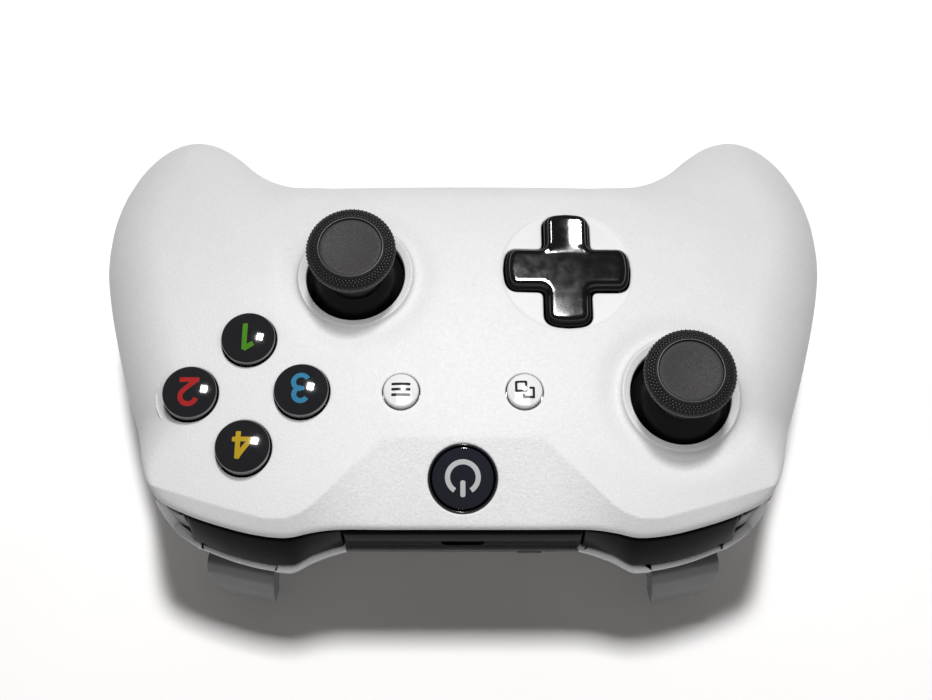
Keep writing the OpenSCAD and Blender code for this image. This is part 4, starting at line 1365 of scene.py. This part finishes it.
# ---------------------------------------------------------------- direction pad
def build_pad():
    base = cross_loop(25.0, 9.0, 1.5, 0.75, 0.22)

    def top_z(p):
        x, y = p[:, 0], p[:, 1]
        w = sm(3.2, 5.5, -y)
        return 1.6 + (1 - w) * (0.008 * x + 0.015 * y) + w * np.square(x + 0.7) / 80.0 + 0.03 * np.maximum(0, -y - 3.2)

    loops = []
    for d, z in ((0.9, -1.6), (0.12, -1.6), (0.0, -1.48), (0.0, -0.12), (0.025, 0.06), (0.09, 0.2), (0.19, 0.29), (0.32, 0.33), (0.48, 0.335),
                 (0.58, 0.37), (0.63, 0.46), (0.65, 0.62)):
        q = offset_loop(base, d)
        loops.append(np.column_stack([q, np.full(len(q), z)]))
    q = offset_loop(base, 0.68)
    loops.append(np.column_stack([q, np.full(len(q), 0.66)]))
    for deg in (0, 18, 36, 54, 72, 90):
        e = 0.7 * (1 - math.cos(math.radians(deg)))
        q = offset_loop(base, 0.69 + e)
        loops.append(np.column_stack([q, top_z(q) - drop(np.full(len(q), e), 0.7)]))
    v, f = loft(loops, cap_end=False)
    rim = loops[-1][:, :2]
    g = hexgrid(-13, 13, -13, 13, 0.5)
    g = g[in_poly(g, rim) & (poly_dist(g, rim) > 0.3)]
    xy, tri, _ = cdt(g, [rim])
    tri = tri[in_poly(xy[tri].mean(1), rim)]
    top = (np.column_stack([xy, top_z(xy)]), tri.tolist())
    hub = revolve([(0, -1.75), (1.6, -2.3), (2.2, -3.2), (2.4, -3.8), (2.5, -3.9), (4.0, -3.9), (4.2, -3.7), (4.2, -1.5), (0, -1.5)], 64)
    at = (DP[0], DP[1], float(crown(*DP)))
    solid("dpad_cross", moved(join((v, f), top), at), M_DPAD, "dpad", ["dpad"], 60, weld=2e-8)
    solid("dpad_hub", moved(hub, at), M_DPAD, "dpad", (), 40)


build_pad()


# ---------------------------------------------------------------- buttons with marks
def stroke(pts, w, soft=0.1):
    """A band of width w along a polyline, as a closed polygon."""
    p = np.asarray(pts, float)
    t = np.gradient(p, axis=0) if len(p) > 2 else np.tile(p[1] - p[0], (2, 1))
    t /= np.linalg.norm(t, axis=1, keepdims=True)
    n = np.stack([-t[:, 1], t[:, 0]], 1) * w / 2
    q = ccw(np.vstack([p + n, (p - n)[::-1]]))
    return q if len(p) > 2 else ccw(fillet_poly(q, soft, 3))


def arc(c, r, a0, a1, n=28, ky=1.0):
    t = np.radians(np.linspace(a0, a1, n))
    return np.stack([c[0] + r * np.cos(t), c[1] + r * ky * np.sin(t)], 1)


W = 0.98
GLYPH = {
    "1": [stroke([(0.55, -2.75), (0.55, 2.75)], W), stroke([(-1.2, 1.45), (0.72, 2.68)], W)],
    "2": [stroke(np.vstack([arc((0, 1.15), 1.55, 165, -38, 26), np.linspace((1.0, -0.05), (-1.45, -2.25), 8)[1:]]), W), stroke([(-1.95, -2.27), (1.9, -2.27)], W)],
    "3": [stroke(arc((-0.05, 1.25), 1.3, 150, -90, 24), W), stroke(arc((-0.05, -1.28), 1.45, 92, -152, 26), W),
          stroke([(-0.75, 0.04), (0.1, 0.04)], W * 0.86)],
    "4": [stroke([(0.75, -2.75), (0.75, 2.75)], W), stroke([(0.95, 2.62), (-1.75, -1.2)], W), stroke([(-2.1, -1.12), (1.9, -1.12)], W)],
    "bars": [stroke([(-1.85, y), (1.85, y)], 0.56, 0.1) for y in (-1.1, 0.0, 1.1)],
    "power": [stroke(arc((0, -0.25), 2.95, 122, 418, 60), 0.98), stroke([(0, 0.35), (0, 3.55)], 0.98, 0.3)],
}


def frame_sq(c, a, w):
    o = rrect(c[0] - a, c[0] + a, c[1] - a, c[1] + a, 0.3, 4, 2)
    i = rrect(c[0] - a + w, c[0] + a - w, c[1] - a + w, c[1] + a - w, 0.12, 4, 2)
    return o, i


def dome_button(name, node, rot, at, r, zs, h, low_prof, mats, marks, edge=0.3, tab_a=None, wedge=0.0):
    """Turned button with a domed top; the marks are faces of the dome in a second material."""
    R = (r * r + h * h) / (2 * h)

    def dome(q):
        return zs + h - R + np.sqrt(R * R - np.square(q))

    n = 112
    re = r - edge
    ze = float(dome(re))
    prof = list(low_prof) + [(r, ze - edge * 1.5), (r - 0.012, ze - edge * 1.0), (r - edge * 0.16, ze - edge * 0.62), (r - edge * 0.4, ze - edge * 0.3),
                             (r - edge * 0.7, ze - edge * 0.09), (re, ze)]
    lathe = revolve(prof, n)
    rim = circle((0, 0), re, n)
    pts = [circle((0, 0), q, max(6, int(2 * PI * q / 0.36))) for q in np.arange(0.35, re - 0.2, 0.36)] + [np.array([[0.0, 0.0]])]
    loops = [rim]
    fills, holes = [], []
    for m in marks:
        if isinstance(m, tuple):
            fills.append(m)
            loops += [resample(m[0], 0.16, closed=True), resample(m[1], 0.16, closed=True)]
        else:
            fills.append((m, None))
            loops.append(resample(m, 0.16, closed=True))
    xy, tri, _ = cdt(np.vstack(pts), loops)
    c = xy[tri].mean(1)
    ink = np.zeros(len(tri), int)
    for o, i in fills:
        on = in_poly(c, o)
        if i is not None:
            on &= ~in_poly(c, i)
        ink |= on.astype(int)
    rr = np.hypot(xy[:, 0], xy[:, 1])
    top = (np.column_stack([xy, dome(np.minimum(rr, re))]), tri.tolist())
    parts = [lathe, top]
    idx = np.concatenate([np.zeros(len(lathe[1]), int), ink])
    if tab_a is not None:
        q = np.vstack([[(1.0, -4.8)], arc((0, 0), 6.35, -46, 46, 16), [(1.0, 4.8)]])
        tb = loft([np.column_stack([q, np.full(len(q), z)]) for z in (-4.2, -3.25)])
        tb = moved(tb, (0, 0, 0), rot_z(math.radians(tab_a)))
        parts.append(tb)
        idx = np.concatenate([idx, np.zeros(len(tb[1]), int)])
    v, f = moved(join(*parts), at, rot)
    return solid(name, (v, f), mats, node, [node], 38, idx, 2e-8)


for key, mark, mat, ta in (("south", "1", M_GREEN, 90), ("east", "2", M_RED, 180), ("west", "3", M_BLUE, 0), ("north", "4", M_YELLOW, -90)):
    bx, by = FACE_BTN[key]
    dome_button("button_" + key + "_cap", "button_" + key, None, (bx, by, float(crown(bx, by))), 5.3, 1.65, 0.72,
                [(0, -4.2), (2.8, -4.2), (2.9, -4.1), (2.9, -2.25), (4.9, -2.2), (5.0, -2.1), (5.0, -1.85), (5.22, -1.8), (5.3, -1.7)],
                [M_DOME, mat], GLYPH[mark], tab_a=ta)

squares = [frame_sq((0.72, -0.62), 1.2, 0.48), stroke([(-1.7, -0.5), (-1.7, 1.8)], 0.48), stroke([(-1.94, 1.56), (0.45, 1.56)], 0.48),
           stroke([(-1.94, -0.3), (-0.85, -0.3)], 0.48), stroke([(0.21, 0.95), (0.21, 1.8)], 0.48)]
low_mb = [(0, -3.8), (4.1, -3.8), (4.25, -3.65), (4.25, -2.95), (4.1, -2.8), (3.45, -2.8)]
for s, n, marks in ((1, "menu", GLYPH["bars"]), (-1, "view", squares)):
    dome_button(n + "_button_cap", n + "_button", None, (s * 12.0, 12.0, float(crown(12.0, 12.0))), 3.45, 0.7, 0.7,
                low_mb, [M_WHITE, M_INK], marks, 0.4)

HOME_R = rot_x(-FACET_A)
dome_button("home_button_cap", "home_button", HOME_R, (0, HB_Y, HOME_Z), 6.0, -0.3, 0.5,
            [(0, -3.4), (5.3, -3.4), (5.4, -3.3), (5.4, -2.6), (5.9, -2.6), (6.0, -2.5)], [M_HOME, M_MARK_W], GLYPH["power"], 0.22)

bez = revolve([(6.3, -1.6), (6.68, -1.6), (6.7, -1.55), (6.7, -0.12), (6.68, 0.02), (6.62, 0.11), (6.54, 0.148), (6.46, 0.148), (6.38, 0.11),
               (6.32, 0.02), (6.3, -0.12), (6.3, -1.6)], 128)
solid("home_bezel_ring", moved(bez, (0, HB_Y, HOME_Z), HOME_R), M_BEZEL, "housing", ["home_bezel"], 40)


# ---------------------------------------------------------------- pairing button and dots
def oval(hx, r, n=14):
    a = arc((hx, 0), r, -90, 90, n)
    b = arc((-hx, 0), r, 90, 270, n)
    return np.vstack([a, b])


def pairing_part():
    loops = []
    for o, y in ((0.3, 34.6), (0.0, 34.6), (0.0, 38.72), (0.03, 38.86), (0.1, 38.98), (0.22, 39.06), (0.38, 39.095), (0.6, 39.1)):
        q = offset_loop(oval(1.8, 0.85), o)
        loops.append(np.column_stack([-13.3 + q[:, 0], np.full(len(q), y), -20.2 + q[:, 1]]))
    return loft(loops)


solid("pairing_button_cap", pairing_part(), M_PORT, "pairing_button", ["pairing_button"], 40)


def dot_parts():
    """Three small raised dots beside the pairing button."""
    parts = []
    for x in (-5.9, -7.6, -9.3):
        y = float(up(x) + tab(rear_add, x))
        d = revolve([(0, -0.35), (0.34, -0.35), (0.34, 0.0), (0.31, 0.07), (0.22, 0.11), (0, 0.12)], 20)
        parts.append(moved(d, (x, y - 0.16, -20.1), rot_x(-PI / 2)))
    return join(*parts)


solid("pairing_dots", dot_parts(), M_PORT, "housing", (), 40)


# ---------------------------------------------------------------- cells and contacts
def cell_part():
    r, l = 7.15, 49.0
    prof = [(0, 0.0), (3.9, 0.0), (4.1, 0.18), (5.8, 0.18), (6.6, 0.1), (r - 0.12, 0.12), (r, 0.3), (r, l - 2.1), (r - 0.08, l - 1.75), (r - 0.35, l - 1.5),
            (r - 0.9, l - 1.42), (3.4, l - 1.42), (2.75, l - 1.3), (2.7, l - 1.1), (2.7, l - 0.2), (2.55, l - 0.04), (2.3, l), (0, l)]
    full = []
    for a, b in zip(prof[:-1], prof[1:]):
        full.append(a)
        if a[0] == r and b[0] == r:
            full += [(r, z) for z in (2.0, 11.0, 11.02)]
    full.append(prof[-1])
    v, f = revolve(full, 72)
    z = np.array([np.mean([v[i][2] for i in q]) for q in f])
    rad = np.array([np.mean([math.hypot(v[i][0], v[i][1]) for i in q]) for q in f])
    idx = np.where(rad < 5.2, 2, np.where((z > 0.3) & (z < 11.01), 1, 0))
    return v, f, idx


def cell_size(node):
    lo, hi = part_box(node)
    return (hi[0] - lo[0]) * 1000.0, (hi[2] - lo[2]) * 500.0


for node, y, s in (("front_cell", 5.7, 1), ("rear_cell", -9.7, -1)):
    length, rad = cell_size(node)
    v, f, idx = cell_part()
    v = np.array(v) * [rad / 7.15, rad / 7.15, length / 49.0]
    v = v - [0, 0, length / 2]
    v, f = moved((v, f), (0, y, -32.3), rot_y(s * PI / 2))
    make(node + "_body", v, f, [M_JACKET, M_BAND, M_STEEL], "housing", [node], 35, idx)


def contact_parts():
    parts = []
    for s in (1, -1):
        for y in (5.7, -9.7):
            leaf = np.array([[-4, -5.5], [4, -5.5], [4, 8.3], [-4, 8.3]])
            q = ccw(fillet_poly(leaf, 0.8, 5))
            p = loft([np.column_stack([np.full(len(q), x), q]) for x in (29.05, 29.55)])
            c = coil_part(3.4, 2.2, 2.3, 2.4, 0.38, 8, 30, 0.6)
            c = (np.array(c[0]) * [-1, 1, 1] + [28.65, 0, 0], [tuple(reversed(k)) for k in c[1]])
            b = moved(join(p, c), (0, y, -32.3))
            parts.append(b if s > 0 else flip_x(b))
    return join(*parts)


solid("battery_contact_set", contact_parts(), M_BRASS, "housing", ["battery_contacts"], 40)

# ---------------------------------------------------------------- finishes of the parts that stay as built
FINISH = {"inner_plastic": M_GREY, "steel": M_STEEL, "board_green": M_BOARD, "mat_rubber": M_MAT, "contact_brass": M_BRASS,
          "shell_white": M_REAR, "gloss_black": M_GLOSS, "trigger_grey": M_TRIG_SHADED, "stick_black": M_STEM, "bezel_grey": M_BEZEL,
          "button_white": M_WHITE, "home_black": M_HOME, "cell_metal": M_JACKET}
NODE_FINISH = {"headset_jack": M_PORT, "expansion_port": M_PORT, "bumper_switches": M_PORT, "pairing_switch": M_PORT,
               "left_stick_module": M_STEEL, "right_stick_module": M_STEEL, "left_stick_gimbal": M_GREY, "right_stick_gimbal": M_GREY}
by_node = {q["node"]: q.get("material_slot") for q in frame["record"].get("subparts", [])}
for n, ob in frame["nodes"].items():
    mat = NODE_FINISH.get(n) or FINISH.get(by_node.get(n)) or M_GREY
    ob.data.materials.clear()
    ob.data.materials.append(mat)


# ---------------------------------------------------------------- stage, light, camera
WHITE_PIECES = ("front_shell", "rear_shell", "left_grip", "right_grip", "menu_button", "view_button",
                "left_trigger_lip", "right_trigger_lip")


def build_stage():
    n = 24
    g = np.linspace(-3.0, 3.0, n + 1)
    verts = [(x, y, 0.0) for y in g for x in g]
    faces = [(j * (n + 1) + i, j * (n + 1) + i + 1, (j + 1) * (n + 1) + i + 1, (j + 1) * (n + 1) + i)
             for j in range(n) for i in range(n)]
    me = bpy.data.meshes.new("floor")
    me.from_pydata(verts, [], faces)
    m, nt, b, co = new_mat("floor_white")
    nt.links.new(ramp(nt, noise(nt, co, 14.0, 4.0), [(0.3, (0.885, 0.88, 0.875)), (0.7, (0.905, 0.90, 0.895))]), b.inputs["Base Color"])
    nt.links.new(span(nt, noise(nt, co, 60.0, 3.0), 0.72, 0.82, 0.3, 0.7), b.inputs["Roughness"])
    nt.links.new(bump(nt, noise(nt, co, 900.0, 2.0), 0.05, 3e-5), b.inputs["Normal"])
    b.inputs["Specular IOR Level"].default_value = 0.2
    me.materials.append(m)
    fl = bpy.data.objects.new("floor", me)
    bpy.context.scene.collection.objects.link(fl)


def area_light(name, at, aim, size, power, only=None, color=(1, 1, 1)):
    """A soft panel; with only, it lights just those objects."""
    d = bpy.data.lights.new(name, "AREA")
    d.shape = "RECTANGLE"
    d.size, d.size_y = size
    d.energy = power
    d.color = color
    o = bpy.data.objects.new(name, d)
    o.location = at
    o.rotation_euler = (Vector(aim) - Vector(at)).to_track_quat("-Z", "Y").to_euler()
    o.visible_camera = False
    bpy.context.scene.collection.objects.link(o)
    if only:
        lit = bpy.data.collections.new(name + "_lit")
        for q in only:
            lit.objects.link(q)
        o.light_linking.receiver_collection = lit
    return o


build_stage()
KEY = Vector((-0.04, -0.37, 0.925)).normalized()
FLOOR_KEY = Vector((0.0, -0.385, 0.92)).normalized()
mid = Vector((0, 0.005, 0.04))
white = [o for o in bpy.data.objects if o.type == "MESH" and any(o.name.startswith(k) for k in WHITE_PIECES)]
area_light("key", mid + KEY * 1.2, mid, (0.13, 0.16), 9.65)
area_light("floor_key", mid + FLOOR_KEY * 1.2, mid, (0.13, 0.16), 6.6, [bpy.data.objects["floor"]])
area_light("fill", to_m((-0.7, 26.0, 126.0)), to_m((-0.7, 26.0, 0.0)), (0.09, 0.09), 0.098, white)
world = bpy.data.worlds.new("soft_white")
bpy.context.scene.world = world
world.use_nodes = True
world.node_tree.nodes["Background"].inputs["Color"].default_value = (1.0, 0.965, 0.945, 1.0)
world.node_tree.nodes["Background"].inputs["Strength"].default_value = 0.16

cam_data = bpy.data.cameras.new("camera")
cam_data.sensor_width = 36.0
cam_data.lens = 1330.0 / 932.0 * 36.0
cam_data.clip_start, cam_data.clip_end = 0.01, 20.0
cam = bpy.data.objects.new("camera", cam_data)
bpy.context.scene.collection.objects.link(cam)
bpy.context.scene.camera = cam
tilt = math.radians(22.0)
aim_at = np.array([-0.6, 3.5, 0.0])
eye = aim_at + 261.0 * np.array([0.0, math.sin(tilt), math.cos(tilt)])
cx, cy, cz = (-1, 0, 0), (0, -math.cos(tilt), math.sin(tilt)), (0, math.sin(tilt), math.cos(tilt))
cam.matrix_world = Matrix([(cx[0], cy[0], cz[0], to_m(eye)[0]), (cx[1], cy[1], cz[1], to_m(eye)[1]),
                           (cx[2], cy[2], cz[2], to_m(eye)[2]), (0, 0, 0, 1)])

vs = bpy.context.scene.view_settings
vs.view_transform = "Standard"
vs.look = "None"
vs.exposure = 0.0
vs.gamma = 1.0

bpy.context.view_layer.update()
